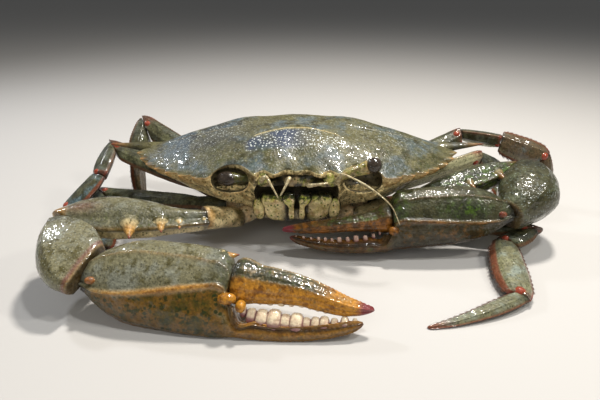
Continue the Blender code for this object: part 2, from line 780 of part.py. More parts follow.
# How much larger the palm is than its rows, how far it rises above its axis, the size and shift of the fixed
# finger, and how far above the axis the moving finger starts and ends.
PALM_SCALE = {-1: 1.10, 1: 0.87}
PALM_RISE = {-1: 0.0, 1: 1.6}
PALM_THICKNESS = {-1: 1.0, 1: 0.88}
FIXED_FINGER_FORM = {-1: (1.0, 0.0), 1: (0.74, 0.7)}
FINGER_LIFT = {-1: (5.4, 4.2), 1: (1.9, 2.4)}
ISCHIUM_ROWS = (
    (-0.15, 4.0, 3.6, 0, 0),
    (0.0, 4.2, 3.6, 0, 0),
    (0.5, 4.6, 3.8, 0, 0),
    (1.0, 5.0, 4.0, 0, 0),
    (1.2, 3.4, 2.8, 0, 0),
)
ARM_ROWS = (
    (-0.08, 3.6, 3.4, 1.4, 0),
    (0.0, 4.2, 3.8, 1.4, 0),
    (0.2, 5.6, 4.4, 1.0, 0),
    (0.45, 8.8, 5.0, -0.8, 0),
    (0.7, 9.8, 5.0, -2.2, 0),
    (0.9, 8.0, 4.6, -2.6, 0),
    (1.0, 6.2, 4.0, -2.2, 0),
    (1.12, 3.6, 2.8, -1.8, 0),
)
ARM_WIDTH = {-1: 1.0, 1: 0.82}
# The sharp front edge of the arm, as an angle in degrees above its forward axis, a height and a spread.
ARM_EDGE = (38.0, 1.5, 16.0)
# Spines on that edge of each arm: place along it, length and root radius.
ARM_SPINES = {
    -1: ((0.17, 1.6, 1.4), (0.32, 2.8, 1.9), (0.54, 5.6, 2.9)),
    1: ((0.34, 2.0, 1.4), (0.62, 3.2, 1.7), (0.88, 4.2, 1.9)),
}
WRIST_ROWS = {
    -1: (
        (-0.12, 4.2, 3.2, 1.0, 0),
        (0.0, 6.2, 4.4, 1.4, 0),
        (0.22, 9.0, 6.4, 2.2, 0),
        (0.5, 10.2, 7.8, 2.6, 0),
        (0.8, 9.4, 7.6, 2.4, 0),
        (1.0, 7.8, 6.2, 2.2, 0),
        (1.22, 5.0, 4.4, 1.6, 0),
    ),
    1: (
        (-0.25, 5.4, 4.2, 7.2, 0),
        (-0.06, 8.8, 6.2, 7.6, 0),
        (0.3, 11.2, 9.0, 7.6, 0),
        (0.65, 10.8, 9.6, 6.8, 0),
        (0.95, 7.4, 6.8, 3.8, 0),
        (1.12, 4.4, 4.4, 1.6, 0),
    ),
}
# Palm with its fixed finger: the broad axis is the palm's height and the flat one its thickness.
PALM_ROWS = (
    (-0.05, 4.0, 3.8, 0.0, 0),
    (0.0, 5.2, 4.6, 0.0, 0),
    (0.05, 8.0, 6.0, 0.0, 0),
    (0.14, 11.0, 7.4, 0.0, 0),
    (0.3, 12.4, 7.9, 0.2, 0),
    (0.44, 12.3, 7.5, 0.0, 0),
    (0.515, 11.0, 6.8, -0.8, 0),
    (0.555, 5.6, 5.4, -5.8, 0),
    (0.64, 4.5, 4.4, -6.4, 0),
    (0.78, 3.7, 3.4, -5.4, 0),
    (0.9, 2.7, 2.4, -3.2, 0),
    (0.97, 1.7, 1.5, -1.3, 0),
    (1.0, 0.7, 0.6, -0.5, 0),
)
# Raised ridges round the palm on its outer face: angle from the upper edge, height and spread in degrees.
PALM_RIDGES = ((104, 0.9, 8.0), (46, 0.6, 9.0), (180, 0.5, 10.0), (0, 0.4, 10.0))
FINGER_ROWS = {
    -1: (
        (-0.04, 3.6, 3.6, -1.6, 0),
        (0.0, 5.4, 4.8, -1.0, 0),
        (0.2, 5.8, 4.6, 0.4, 0),
        (0.5, 4.6, 3.8, 1.3, 0),
        (0.66, 4.0, 3.2, 0.3, 0),
        (0.82, 2.9, 2.4, -0.6, 0),
        (0.94, 1.5, 1.4, -0.4, 0),
        (1.0, 0.6, 0.5, 0.0, 0),
    ),
    1: (
        (-0.04, 3.6, 3.4, 0.9, 0),
        (0.0, 5.2, 4.2, 1.3, 0),
        (0.15, 4.4, 4.0, 0.9, 0),
        (0.35, 3.2, 3.4, 0.5, 0),
        (0.6, 2.6, 2.8, 0.2, 0),
        (0.85, 1.8, 1.9, 0.2, 0),
        (1.0, 0.6, 0.5, 0.3, 0),
    ),
}
# Place along the biting edge and radius of each rounded tooth.
BITING_TEETH = (
    (0.12, 1.5),
    (0.21, 2.0),
    (0.31, 2.2),
    (0.41, 1.9),
    (0.51, 2.0),
    (0.6, 1.5),
    (0.69, 1.5),
    (0.78, 1.1),
    (0.87, 0.9),
)
TOOTH_SCALE = {-1: 1.0, 1: 0.4}
STEP_DEPTH = {-1: 7.3, 1: 4.8}


def biting_teeth(start, end, broad, rows, scale, last, towards):
    """Rounded teeth on the edge of a finger, sunk into it."""
    origin, length, along, broad, _ = frame_of(start, end, broad)
    table = np.array(rows, float)
    first = PALM_SHARE + 0.03 if last == 1.0 else 0.08
    made = []
    for place, radius in BITING_TEETH:
        s = first + (last - first) * place
        radius = radius * scale
        half = np.interp(s, table[:, 0], table[:, 1])
        shift = np.interp(s, table[:, 0], table[:, 3])
        centre = origin + along * length * s + broad * (shift + towards * (half - radius * 0.3))
        made.append(ball(centre, (radius, radius * 0.85, radius), 1))
    return made


def row_at(rows, place):
    """Half breadth, half thickness and shift along the broad axis at a place along a limb piece."""
    table = np.array(rows, float)
    return [float(np.interp(place, table[:, 0], table[:, column])) for column in (1, 2, 3)]


def palm_rows(side):
    """The palm's rows for one side, with its fixed finger made larger or smaller and shifted."""
    size, shift = FIXED_FINGER_FORM[side]
    rows = []
    for place, half, thick, to_broad, to_flat in PALM_ROWS:
        if place < PALM_SHARE:
            tall, rise = half * PALM_SCALE[side], PALM_RISE[side]
            rows.append((place, tall, thick * PALM_THICKNESS[side], to_broad + rise, to_flat))
        else:
            rows.append((place, half * size, thick * size, to_broad + shift * (1 - place) * 3, to_flat))
    return rows


def make_claw(side):
    word = side_word(side)
    inner, root = inner_end("cheliped", side), root_of("cheliped", side)
    elbow, wrist_top, wrist, tip = [Vector(p) for p in CLAW_JOINTS[side]]
    points = [inner, root, elbow, wrist_top, wrist, tip]
    broad = Vector(ARM_BROAD[side])

    ischium = mesh_object("ischium", *stitch(loft(root, elbow, broad, ISCHIUM_ROWS, 12, 5)))
    trim_to_joints(ischium, points, 1)
    add_node(ischium, f"cheliped_{word}_ischium", "claw")

    arm_rows = [(p, a * ARM_WIDTH[side], b, c, d) for p, a, b, c, d in ARM_ROWS]
    edge_angle, edge_height, edge_spread = ARM_EDGE
    edge = (-side * edge_angle, edge_height, edge_spread)
    arm = mesh_object("arm", *stitch(loft(elbow, wrist_top, broad, arm_rows, 20, 11, 1.8, (edge,))))
    origin, length, along, forward, flat = frame_of(elbow, wrist_top, broad)
    upward = -side * flat
    spikes = []
    for place, reach, radius in ARM_SPINES[side]:
        half, thick, shift = row_at(arm_rows, place)
        tilt = math.radians(edge_angle)
        brow = forward * (half * math.cos(tilt) + shift) + upward * thick * math.sin(tilt)
        base = origin + along * length * place + brow
        outward = unit(forward + upward * 0.15)
        spikes.append(cone(base - outward * 1.8, base + outward * (reach + 1.0), radius, 7))
    half, thick, shift = row_at(arm_rows, 0.86)
    heel = origin + along * length * 0.86 + forward * (shift - half * 0.5)
    spikes.append(cone(heel, heel + along * 11.5 + forward * 1.6, 2.6, 7, 0.8))
    combine(arm, spikes, "UNION")
    trim_to_joints(arm, points, 2)
    add_node(arm, f"cheliped_{word}_merus", "claw")

    wrist_rings = loft(wrist_top, wrist, WRIST_OUT[side], WRIST_ROWS[side], 18, 11)
    carpus = mesh_object("carpus", *stitch(wrist_rings))
    trim_to_joints(carpus, points, 3, far_cut=WRIST_CUT[side])
    settle_on_floor(carpus)
    add_node(carpus, f"cheliped_{word}_carpus", "claw")

    up = Vector(PALM_UP[side])
    rows = palm_rows(side)
    ridges = [(-side * angle, height, spread) for angle, height, spread in PALM_RIDGES]
    palm = mesh_object("palm", *stitch(loft(wrist, tip, up, rows, 24, 20, 2.1, ridges)))
    extras = biting_teeth(wrist, tip, up, rows, TOOTH_SCALE[side], 1.0, 1.0)
    origin, length, along, height, flat = frame_of(wrist, tip, up)
    crest = origin + along * length * 0.47 + height * (10.4 * PALM_SCALE[side])
    extras.append(cone(crest, crest + along * 5.0 + height * 1.9, 1.7, 7))
    combine(palm, extras, "UNION")
    trim_to_joints(palm, points, 4, near_cut=WRIST_CUT[side])
    low, high = FINGER_LIFT[side]
    hinge = origin + along * length * PALM_SHARE + height * low
    finger_tip = origin + along * length * 1.03 + height * high
    seat = hinge - along * 0.4
    step = block((0.0, -30.0, -STEP_DEPTH[side]), (14.0, 30.0, 30.0))
    turn = Matrix((along, -flat, height)).transposed().to_4x4()
    step.data.transform(Matrix.Translation(seat * MM) @ turn)
    combine(palm, [step], "DIFFERENCE")
    settle_on_floor(palm)
    add_node(palm, f"cheliped_{word}_palm", "claw")

    rows = FINGER_ROWS[side]
    finger = mesh_object("finger", *stitch(loft(hinge, finger_tip, height, rows, 14, 11, 2.1)))
    if side < 0:
        combine(finger, biting_teeth(hinge, finger_tip, height, rows, 0.8, 0.98, -1.0), "UNION")
    slice_off(finger, seat + along * GAP, -along)
    settle_on_floor(finger)
    add_node(finger, f"cheliped_{word}_finger", "finger")


def bring_home():
    """Moves every node so that the footprint is centred on the origin."""
    for body in bpy.context.scene.objects:
        body.data.transform(Matrix.Translation(HOME * MM))


clear_scene()
make_carapace()
make_thorax()
make_abdomen()
make_face()
for word in ("right", "left"):
    make_eye(word)
    make_maxilliped(-1 if word == "right" else 1, f"maxilliped_{word}")
for name, route in FEELERS.items():
    make_feeler(name, route)
for side in (-1, 1):
    make_claw(side)
for limb, side in JOINTS:
    make_leg(limb, side)
bring_home()
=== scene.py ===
"""A life-size museum model of a blue crab, an adult female, wet, at rest on its legs and claws.

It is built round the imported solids. Lengths are in millimetres and become metres when a mesh is made. The
crab faces -Y, its left side is +X, and HOME carries its own frame to the frame of the solids.
"""

import math

import bpy
import numpy as np
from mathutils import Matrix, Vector, kdtree, noise


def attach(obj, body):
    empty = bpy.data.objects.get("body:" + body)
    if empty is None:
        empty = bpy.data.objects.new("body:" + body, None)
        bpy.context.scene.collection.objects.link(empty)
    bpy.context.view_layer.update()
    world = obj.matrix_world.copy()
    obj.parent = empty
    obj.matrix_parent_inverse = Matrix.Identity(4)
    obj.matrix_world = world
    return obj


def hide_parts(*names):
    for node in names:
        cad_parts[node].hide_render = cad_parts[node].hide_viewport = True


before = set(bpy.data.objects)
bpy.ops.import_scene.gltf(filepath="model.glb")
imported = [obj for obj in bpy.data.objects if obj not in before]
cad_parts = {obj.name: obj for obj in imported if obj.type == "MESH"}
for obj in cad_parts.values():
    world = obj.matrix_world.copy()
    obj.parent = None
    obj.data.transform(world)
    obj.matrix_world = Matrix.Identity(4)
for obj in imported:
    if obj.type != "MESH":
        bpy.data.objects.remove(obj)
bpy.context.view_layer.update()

# Floor, light and camera. The model stands on plain pale paper. The main soft lamp hangs high behind its left
# side, a wide weak one fills from the front, and three small ones draw glints on the wet shell.
MM = 0.001
HOME = np.array((-9.4, -4.7, 0.0))
CAMERA_AT = (-8.1, -202.7, 101.0)
CAMERA_DOWN = 25.0
LENS = 28.5
SENSOR = 36.0
FLOOR_COLOUR = "#B6B4B0"
FLOOR_SIZE = 6000.0
# Place, size, power in watts and tint.
LAMPS = {
    "high_back": ((110.0, 110.0, 480.0), 50.0, 3.1, "#FFF9F2"),
    "overhead": ((120.0, -100.0, 420.0), 34.0, 0.7, "#FFFFFF"),
    "front_fill": ((-160.0, -420.0, 260.0), 420.0, 1.0, "#F6F4F0"),
    "right_glint": ((-330.0, 160.0, 300.0), 34.0, 0.6, "#F4F7FF"),
    "left_glint": ((300.0, -120.0, 330.0), 34.0, 0.5, "#FFFAF2"),
}
# A lamp from this size up isn't mirrored in the film of water.
WIDE_LAMP = 200.0
WORLD_COLOUR = "#E6E8EA"
WORLD_STRENGTH = 0.15


def linear(hex_colour):
    """An sRGB hex colour as linear RGBA."""
    channels = [int(hex_colour[i : i + 2], 16) / 255 for i in (1, 3, 5)]
    return [c / 12.92 if c <= 0.04045 else ((c + 0.055) / 1.055) ** 2.4 for c in channels] + [1.0]


def put(tree, kind, sockets=None, **settings):
    """Adds a node, with its settings, and a value or a link for each socket named."""
    made = tree.nodes.new(kind)
    for key, value in settings.items():
        setattr(made, key, value)
    for key, value in (sockets or {}).items():
        if isinstance(value, bpy.types.NodeSocket):
            tree.links.new(value, made.inputs[key])
        else:
            made.inputs[key].default_value = value
    return made


def fresh_material(name):
    """A new material with its tree and its shader."""
    material = bpy.data.materials.new(name)
    material.use_nodes = True
    return material, material.node_tree, material.node_tree.nodes["Principled BSDF"]


bpy.ops.object.select_all(action="DESELECT")
bpy.ops.mesh.primitive_plane_add(size=FLOOR_SIZE * MM)
floor = bpy.context.object
floor.name = "floor"
paper, tree, shader = fresh_material("matt_paper")
shader.inputs["Base Color"].default_value = linear(FLOOR_COLOUR)
shader.inputs["Roughness"].default_value = 0.8
floor.data.materials.append(paper)

for lamp_name, (place, size, power, tint) in LAMPS.items():
    bpy.ops.object.light_add(type="AREA", location=Vector(place) * MM)
    lamp = bpy.context.object
    lamp.name = lamp_name
    lamp.data.size = size * MM
    lamp.data.energy = power
    lamp.data.color = linear(tint)[:3]
    lamp.visible_glossy = size < WIDE_LAMP
    lamp.rotation_euler = Vector(place).to_track_quat("Z", "Y").to_euler()

world = bpy.data.worlds.new("studio")
bpy.context.scene.world = world
world.use_nodes = True
world.node_tree.nodes["Background"].inputs["Color"].default_value = linear(WORLD_COLOUR)
world.node_tree.nodes["Background"].inputs["Strength"].default_value = WORLD_STRENGTH

camera_tilt = (math.radians(90.0 - CAMERA_DOWN), 0.0, 0.0)
bpy.ops.object.camera_add(location=Vector(CAMERA_AT) * MM, rotation=camera_tilt)
camera = bpy.context.object
camera.data.lens = LENS
camera.data.sensor_width = SENSOR
camera.data.clip_start = 0.01
bpy.context.scene.camera = camera
bpy.context.scene.view_settings.view_transform = "Standard"

# Back shell. One hard plate of chitin and lime, olive over slate blue, with pale granules where it swells, a
# row of sharp teeth along each front edge and a long spine at each side. It grows in one piece, turned under
# at the rim into a cream wall with dark green specks, which holds the eye sockets and the mouth's opening.
BACK_TOP_Z = 45.2
BELLY_Z = 15.0
RIM_THICKNESS = 1.5
UNDER_BULGE = 2.3
BACK_CENTRE = (0.0, 4.0)
BACK_ROUNDNESS = 2.3
# The left half of the rim, at +X, from the middle of the brow to the middle of the rear.
HALF_RIM = (
    (0.0, -29.4, 34.4), (4.2, -28.6, 34.6), (8.6, -32.2, 34.2), (12.6, -29.4, 34.8),
    (16.4, -32.0, 34.4), (18.8, -29.0, 35.0), (22.6, -25.4, 35.6), (27.6, -25.2, 35.2),
    (31.6, -28.0, 33.8), (34.2, -31.0, 32.2), (40.0, -28.2, 32.0), (46.0, -25.8, 32.0),
    (52.2, -22.0, 32.0), (57.8, -17.0, 32.2), (62.4, -11.0, 32.6), (66.0, -4.4, 33.2),
    (68.0, 2.4, 33.8), (63.6, 8.4, 33.2), (55.8, 13.2, 32.2), (46.0, 19.4, 31.6), (36.0, 26.8, 31.2),
    (29.0, 34.0, 31.0), (23.0, 38.6, 31.2), (12.0, 39.4, 31.8), (0.0, 38.8, 32.0),
)
RIM_TEETH = (
    (38.4, -28.6, 1.9), (44.2, -26.2, 2.0), (49.8, -23.2, 2.1), (54.8, -19.2, 2.2), (59.2, -14.6, 2.4),
    (62.8, -9.4, 2.6), (65.4, -3.8, 2.8),
)
TOOTH_HALF_WIDTH = 3.1
TOOTH_SHARPNESS = 1.15
# How far a tooth of the rim leans outwards to its side and forwards, and how far it turns up.
TOOTH_LEAN = (0.25, -0.35)
TOOTH_LIFT = 0.15
BELLY_HALF = (29.0, 29.5)
BELLY_CENTRE_Y = 6.0
# Swellings and hollows of the back: place, reach across and along, and height. These and the lines come in
# pairs where they lie off the middle.
BACK_FORMS = (
    (0.0, -12.0, 17.0, 10.0, 0.9), (0.0, 17.0, 9.0, 9.0, 0.6), (25.0, 13.0, 12.0, 13.0, 2.2),
    (44.0, 0.0, 10.0, 10.0, 0.6), (13.0, 6.0, 3.0, 7.0, -0.8), (0.0, 5.0, 8.0, 2.2, -0.4),
    (23.0, -8.0, 4.0, 6.0, -0.6), (10.0, -24.0, 5.0, 4.0, 0.5), (0.0, -25.0, 2.4, 6.0, -0.5),
)
# Fine raised lines on the back: their middle and half span across, place along, arch, and height.
BACK_LINES = ((0.0, 19.5, -7.6, -0.016, 0.4), (41.0, 22.0, -3.6, 0.007, 0.2))
LINE_HALF_WIDTH = 0.38
RIM_POINTS = 640
TOP_RINGS = 100
UNDER_RINGS = 34
# The long spine at each side, given for the left one.
SPINE_BASE = (58.0, 2.8, 32.8)
SPINE_TIP = (81.5, 0.0, 35.6)
SPINE_ROWS = ((-0.05, 4.2, 2.6), (0.3, 3.4, 2.1), (0.7, 1.5, 1.1), (1, 0.25, 0.22))
# The left eye socket, and the route of the raised rim round its outer and lower side, with its radius.
SOCKET_CENTRE = (25.7, -29.6, 30.4)
SOCKET_RADII = (7.2, 7.0, 4.3)
SOCKET_RIM = (
    (34.4, -27.4, 31.6, 0.9), (32.6, -29.0, 28.8, 1.0), (28.8, -29.4, 26.8, 1.15),
    (24.0, -29.6, 26.2, 1.15), (20.0, -29.4, 27.4, 1.0), (18.2, -28.6, 29.6, 0.8),
)
MOUTH_CENTRE = (0.0, -37.0, 18.6)
MOUTH_RADII = (17.5, 13.8, 14.7)
# How a surface is marked, each between 0 and 1 at every point: cream under face, worn brown face, orange
# edge, red tip, dark seams and painted shade in hollows, pale granules, slate blue and green stain.
MARKINGS = ("under", "tan", "warm", "tip", "dark", "grain", "slate", "stain")


# A limb's row is place along its line, half breadth, half thickness, and the shift of the middle along the
# broad and the flat axis. Shifts of 0 at its end may be left out.
ROW_LENGTH = 5


def read_rows(rows, places):
    """Columns read along a smooth curve through the given rows. The first column is the place along it."""
    table = np.array(rows, float)
    at = table[:, 0]
    slopes = np.gradient(table, at, axis=0)
    places = np.clip(np.asarray(places, float), at[0], at[-1])
    k = np.clip(np.searchsorted(at, places, side="right") - 1, 0, len(at) - 2)
    span = (at[k + 1] - at[k])[:, None]
    t = (places[:, None] - at[k][:, None]) / span
    curve = (2 * t**3 - 3 * t**2 + 1) * table[k] + (t**3 - 2 * t**2 + t) * span * slopes[k]
    return curve + (3 * t**2 - 2 * t**3) * table[k + 1] + (t**3 - t**2) * span * slopes[k + 1]


def full_rows(rows, factor=1.0):
    """Rows with the shifts that they leave out set to 0, and their half breadths times the factor."""
    table = np.array([(*row, *(0,) * (ROW_LENGTH - len(row))) for row in rows], float)
    table[:, 1] *= factor
    return table


def step(low, high, value):
    """0 at low, 1 at high, and a smooth change between them."""
    t = np.clip((value - low) / (high - low), 0.0, 1.0)
    return t * t * (3 - 2 * t)


def bump_at(middle, reach, value):
    """1 at the middle, falling away smoothly over the reach."""
    return np.exp(-(((value - middle) / reach) ** 2))


def lumps(places, size, seed=0.0):
    """Smooth noise between about -1 and 1 at places in millimetres, with lumps of the given size."""
    lift = Vector((seed * 7.3, seed * 3.1, seed))
    return np.array([noise.noise(Vector(p) / size + lift) for p in places])


def pair(row):
    """A row and, where it starts off the middle, its twin on the other side."""
    return [row] if row[0] == 0 else [row, (-row[0], *row[1:])]


def half_turn(degrees):
    """An angle brought between -180 and 180 degrees."""
    return (degrees + 180.0) % 360.0 - 180.0


def raw_points(piece):
    """The points of a piece as its mesh holds them."""
    points = np.empty(len(piece.data.vertices) * 3, np.float32)
    piece.data.vertices.foreach_get("co", points)
    return points.reshape(-1, 3).astype(float)


def places_of(piece):
    """The points of a piece in the crab's own frame, in millimetres."""
    return raw_points(piece) / MM - HOME


def move_points(piece, places):
    """Puts the points of a piece at places in the crab's own frame."""
    piece.data.vertices.foreach_set("co", ((places + HOME) * MM).astype(np.float32).ravel())


def mark(piece, **shares):
    """Stores how much each point shows a marking."""
    for label, values in shares.items():
        layer = piece.data.attributes.get(label) or piece.data.attributes.new(label, "FLOAT", "POINT")
        spread = np.zeros(len(piece.data.vertices), np.float32) + np.clip(values, 0.0, 1.0)
        layer.data.foreach_set("value", spread.astype(np.float32))


def marks_of(piece):
    """The markings stored on a piece."""
    found = {}
    for label in MARKINGS:
        values = np.empty(len(piece.data.vertices), np.float32)
        piece.data.attributes[label].data.foreach_get("value", values)
        found[label] = values
    return found


def rolled_sheet(name, around, along):
    """A flat sheet of squares, to be rolled into a closed form.

    Returns it with, for each point, its turn round the form in radians and its share from end to end."""
    bpy.ops.object.select_all(action="DESELECT")
    bpy.ops.mesh.primitive_grid_add(x_subdivisions=around, y_subdivisions=along, size=2.0)
    piece = bpy.context.object
    piece.name = name
    piece.data.name = name
    flat = np.round(raw_points(piece), 6)
    return piece, (flat[:, 0] + 1) * math.pi, (flat[:, 1] + 1) / 2


def close_form(piece, places, **marks):
    """Rolls a sheet up: moves its points to their places, stores its markings, and closes seam and ends."""
    move_points(piece, places)
    mark(piece, **{label: marks.get(label, 0.0) for label in MARKINGS})
    bpy.ops.object.select_all(action="DESELECT")
    bpy.context.view_layer.objects.active = piece
    piece.select_set(True)
    bpy.ops.object.mode_set(mode="EDIT")
    bpy.ops.mesh.select_all(action="SELECT")
    bpy.ops.mesh.remove_doubles(threshold=1e-7)
    bpy.ops.object.mode_set(mode="OBJECT")
    return piece


def weld(piece, others, operation="UNION"):
    """Fuses the others into a piece, or cuts them out of it, and leaves one closed skin. Each point is then
    marked as the nearest point of the forms that it came from."""
    sources = [piece, *others]
    known = np.vstack([places_of(source) for source in sources])
    marks = [marks_of(source) for source in sources]
    near = kdtree.KDTree(len(known))
    for number, place in enumerate(known):
        near.insert(place, number)
    near.balance()
    for other in others:
        fuse = piece.modifiers.new("fuse", "BOOLEAN")
        fuse.operation = operation
        fuse.object = other
        fuse.solver = "MANIFOLD"
        bpy.context.view_layer.objects.active = piece
        bpy.ops.object.modifier_apply(modifier=fuse.name)
        bpy.data.objects.remove(other)
    nearest = [near.find(place)[1] for place in places_of(piece)]
    mark(piece, **{label: np.concatenate([m[label] for m in marks])[nearest] for label in MARKINGS})
    return piece


def fit(piece, node, material):
    """Gives a piece its material, its body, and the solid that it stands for."""
    piece.data.materials.clear()
    piece.data.materials.append(material)
    piece.data.shade_smooth()
    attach(piece, "root")
    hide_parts(node)


def frame_of(start, end, broad):
    """Origin, length, and the along, broad and flat axes of a limb piece."""
    start, end = np.array(start, float), np.array(end, float)
    length = np.linalg.norm(end - start)
    axis = (end - start) / length
    broad = np.array(broad, float)
    broad = broad - broad.dot(axis) * axis
    broad /= np.linalg.norm(broad)
    return start, length, axis, broad, np.cross(axis, broad)


def soft_stop(places, point, outward, width=0.7, gap=0.12):
    """Presses what passes a plane back to it, so that the piece ends in a flat face with a rounded edge."""
    outward = np.array(outward, float) / np.linalg.norm(outward)
    beyond = (places - np.array(point)) @ outward + gap
    pressed = -width * np.exp(-(beyond + width) / width)
    return places - outward * np.where(beyond > -width, beyond - pressed, 0.0)[:, None]


# The share of a rolled sheet's length over which each end closes.
END_SHARE = 0.03
# The row of small beads along every ridge.
BEAD_SPACING = 1.3
BEAD_HEIGHT = 0.1
BEAD_SPREAD = 2.5
# Where a piece would pass the floor it is flattened, this far above it and over this height.
FLOOR_GAP = 0.05
FLOOR_SOFTNESS = 0.25


def closing_share(share):
    """How wide a rolled sheet still is at a share of its length: 1, falling to 0 at both ends."""
    to_end = np.clip((END_SHARE - np.minimum(share, 1 - share)) / END_SHARE, 0, 1)
    return np.sqrt(1 - to_end**2)


def draw_limb(name, start, end, broad, rows, around=48, along=60, square=2.0, ridges=(), near=None, far=None,
              rough=0.08):
    """A rolled sheet drawn along a line, with its places not yet set.

    A ridge is an angle from the broad axis in degrees, a height, a spread and how far its angle drifts along
    the line. Near and far are joint planes, each a point and the way out of the piece. Returns the sheet, its
    places, and each point's place along the line and angle round it."""
    rows = full_rows(rows)
    piece, turn, share = rolled_sheet(name, around, along)
    origin, length, axis, broad, flat = frame_of(start, end, broad)
    place = rows[0][0] + (rows[-1][0] - rows[0][0]) * share
    _, half_broad, half_flat, to_broad, to_flat = read_rows(rows, place).T
    c, s = np.cos(turn), np.sin(turn)
    x = half_broad * np.sign(c) * np.abs(c) ** (2 / square)
    y = half_flat * np.sign(s) * np.abs(s) ** (2 / square)
    angle = half_turn(np.degrees(turn))
    middle = origin + axis * (length * place)[:, None] + broad * to_broad[:, None] + flat * to_flat[:, None]
    across = broad * x[:, None] + flat * y[:, None]
    reach = np.maximum(np.hypot(x, y), 0.01)
    coarse, fine = lumps(middle + across, 3.2, len(name)), lumps(middle + across, 1.3)
    lift = rough * coarse + 0.5 * rough * fine
    beads = BEAD_HEIGHT * np.sin(place * length / BEAD_SPACING * 2 * math.pi)
    for at, height, spread, drift in ridges:
        off = half_turn(angle - at - drift * place)
        lift = lift + height * bump_at(0.0, spread, off) + beads * bump_at(0.0, BEAD_SPREAD, off)
    places = middle + across * (closing_share(share) * (1 + lift / reach))[:, None]
    for stop in (near, far):
        if stop:
            places = soft_stop(places, *stop)
    above = (places[:, 2] - FLOOR_GAP) / FLOOR_SOFTNESS
    places[:, 2] = FLOOR_GAP + FLOOR_SOFTNESS * np.logaddexp(0.0, above)
    return piece, places, place, angle


def draw_tube(name, route, around=10, along=60):
    """A rolled sheet drawn along a curved route, each point of it a place and a radius."""
    piece, turn, share = rolled_sheet(name, around, along)
    table = [(number, *row) for number, row in enumerate(route)]
    last = len(route) - 1
    here = read_rows(table, share * last)
    ahead = read_rows(table, np.clip(share + 0.01, 0, 1) * last)[:, 1:4]
    behind = read_rows(table, np.clip(share - 0.01, 0, 1) * last)[:, 1:4]
    axis = (ahead - behind) / np.linalg.norm(ahead - behind, axis=1)[:, None]
    across = np.array((0.0, 0.0, 1.0)) - axis * axis[:, 2:3]
    across /= np.linalg.norm(across, axis=1)[:, None]
    other = np.cross(axis, across)
    radius = (here[:, 4] * closing_share(share))[:, None]
    places = here[:, 1:4] + (across * np.cos(turn)[:, None] + other * np.sin(turn)[:, None]) * radius
    return piece, places, share, turn


def draw_ball(name, centre, radii, around=32, along=20, square=2.0):
    """A rolled sheet drawn to a ball or, when square is more than 2, to a rounded block."""
    piece, turn, share = rolled_sheet(name, around, along)
    tilt = (share - 0.5) * math.pi
    ways = np.column_stack((np.cos(turn) * np.cos(tilt), np.sin(turn) * np.cos(tilt), np.sin(tilt)))
    ways[(share == 0) | (share == 1), :2] = 0.0
    ways /= (np.abs(ways) ** square).sum(axis=1)[:, None] ** (1 / square)
    return piece, np.array(centre) + ways * np.array(radii), turn, share


# How far the dots are pulled out of round, in millimetres.
DOT_SWAY = 0.3


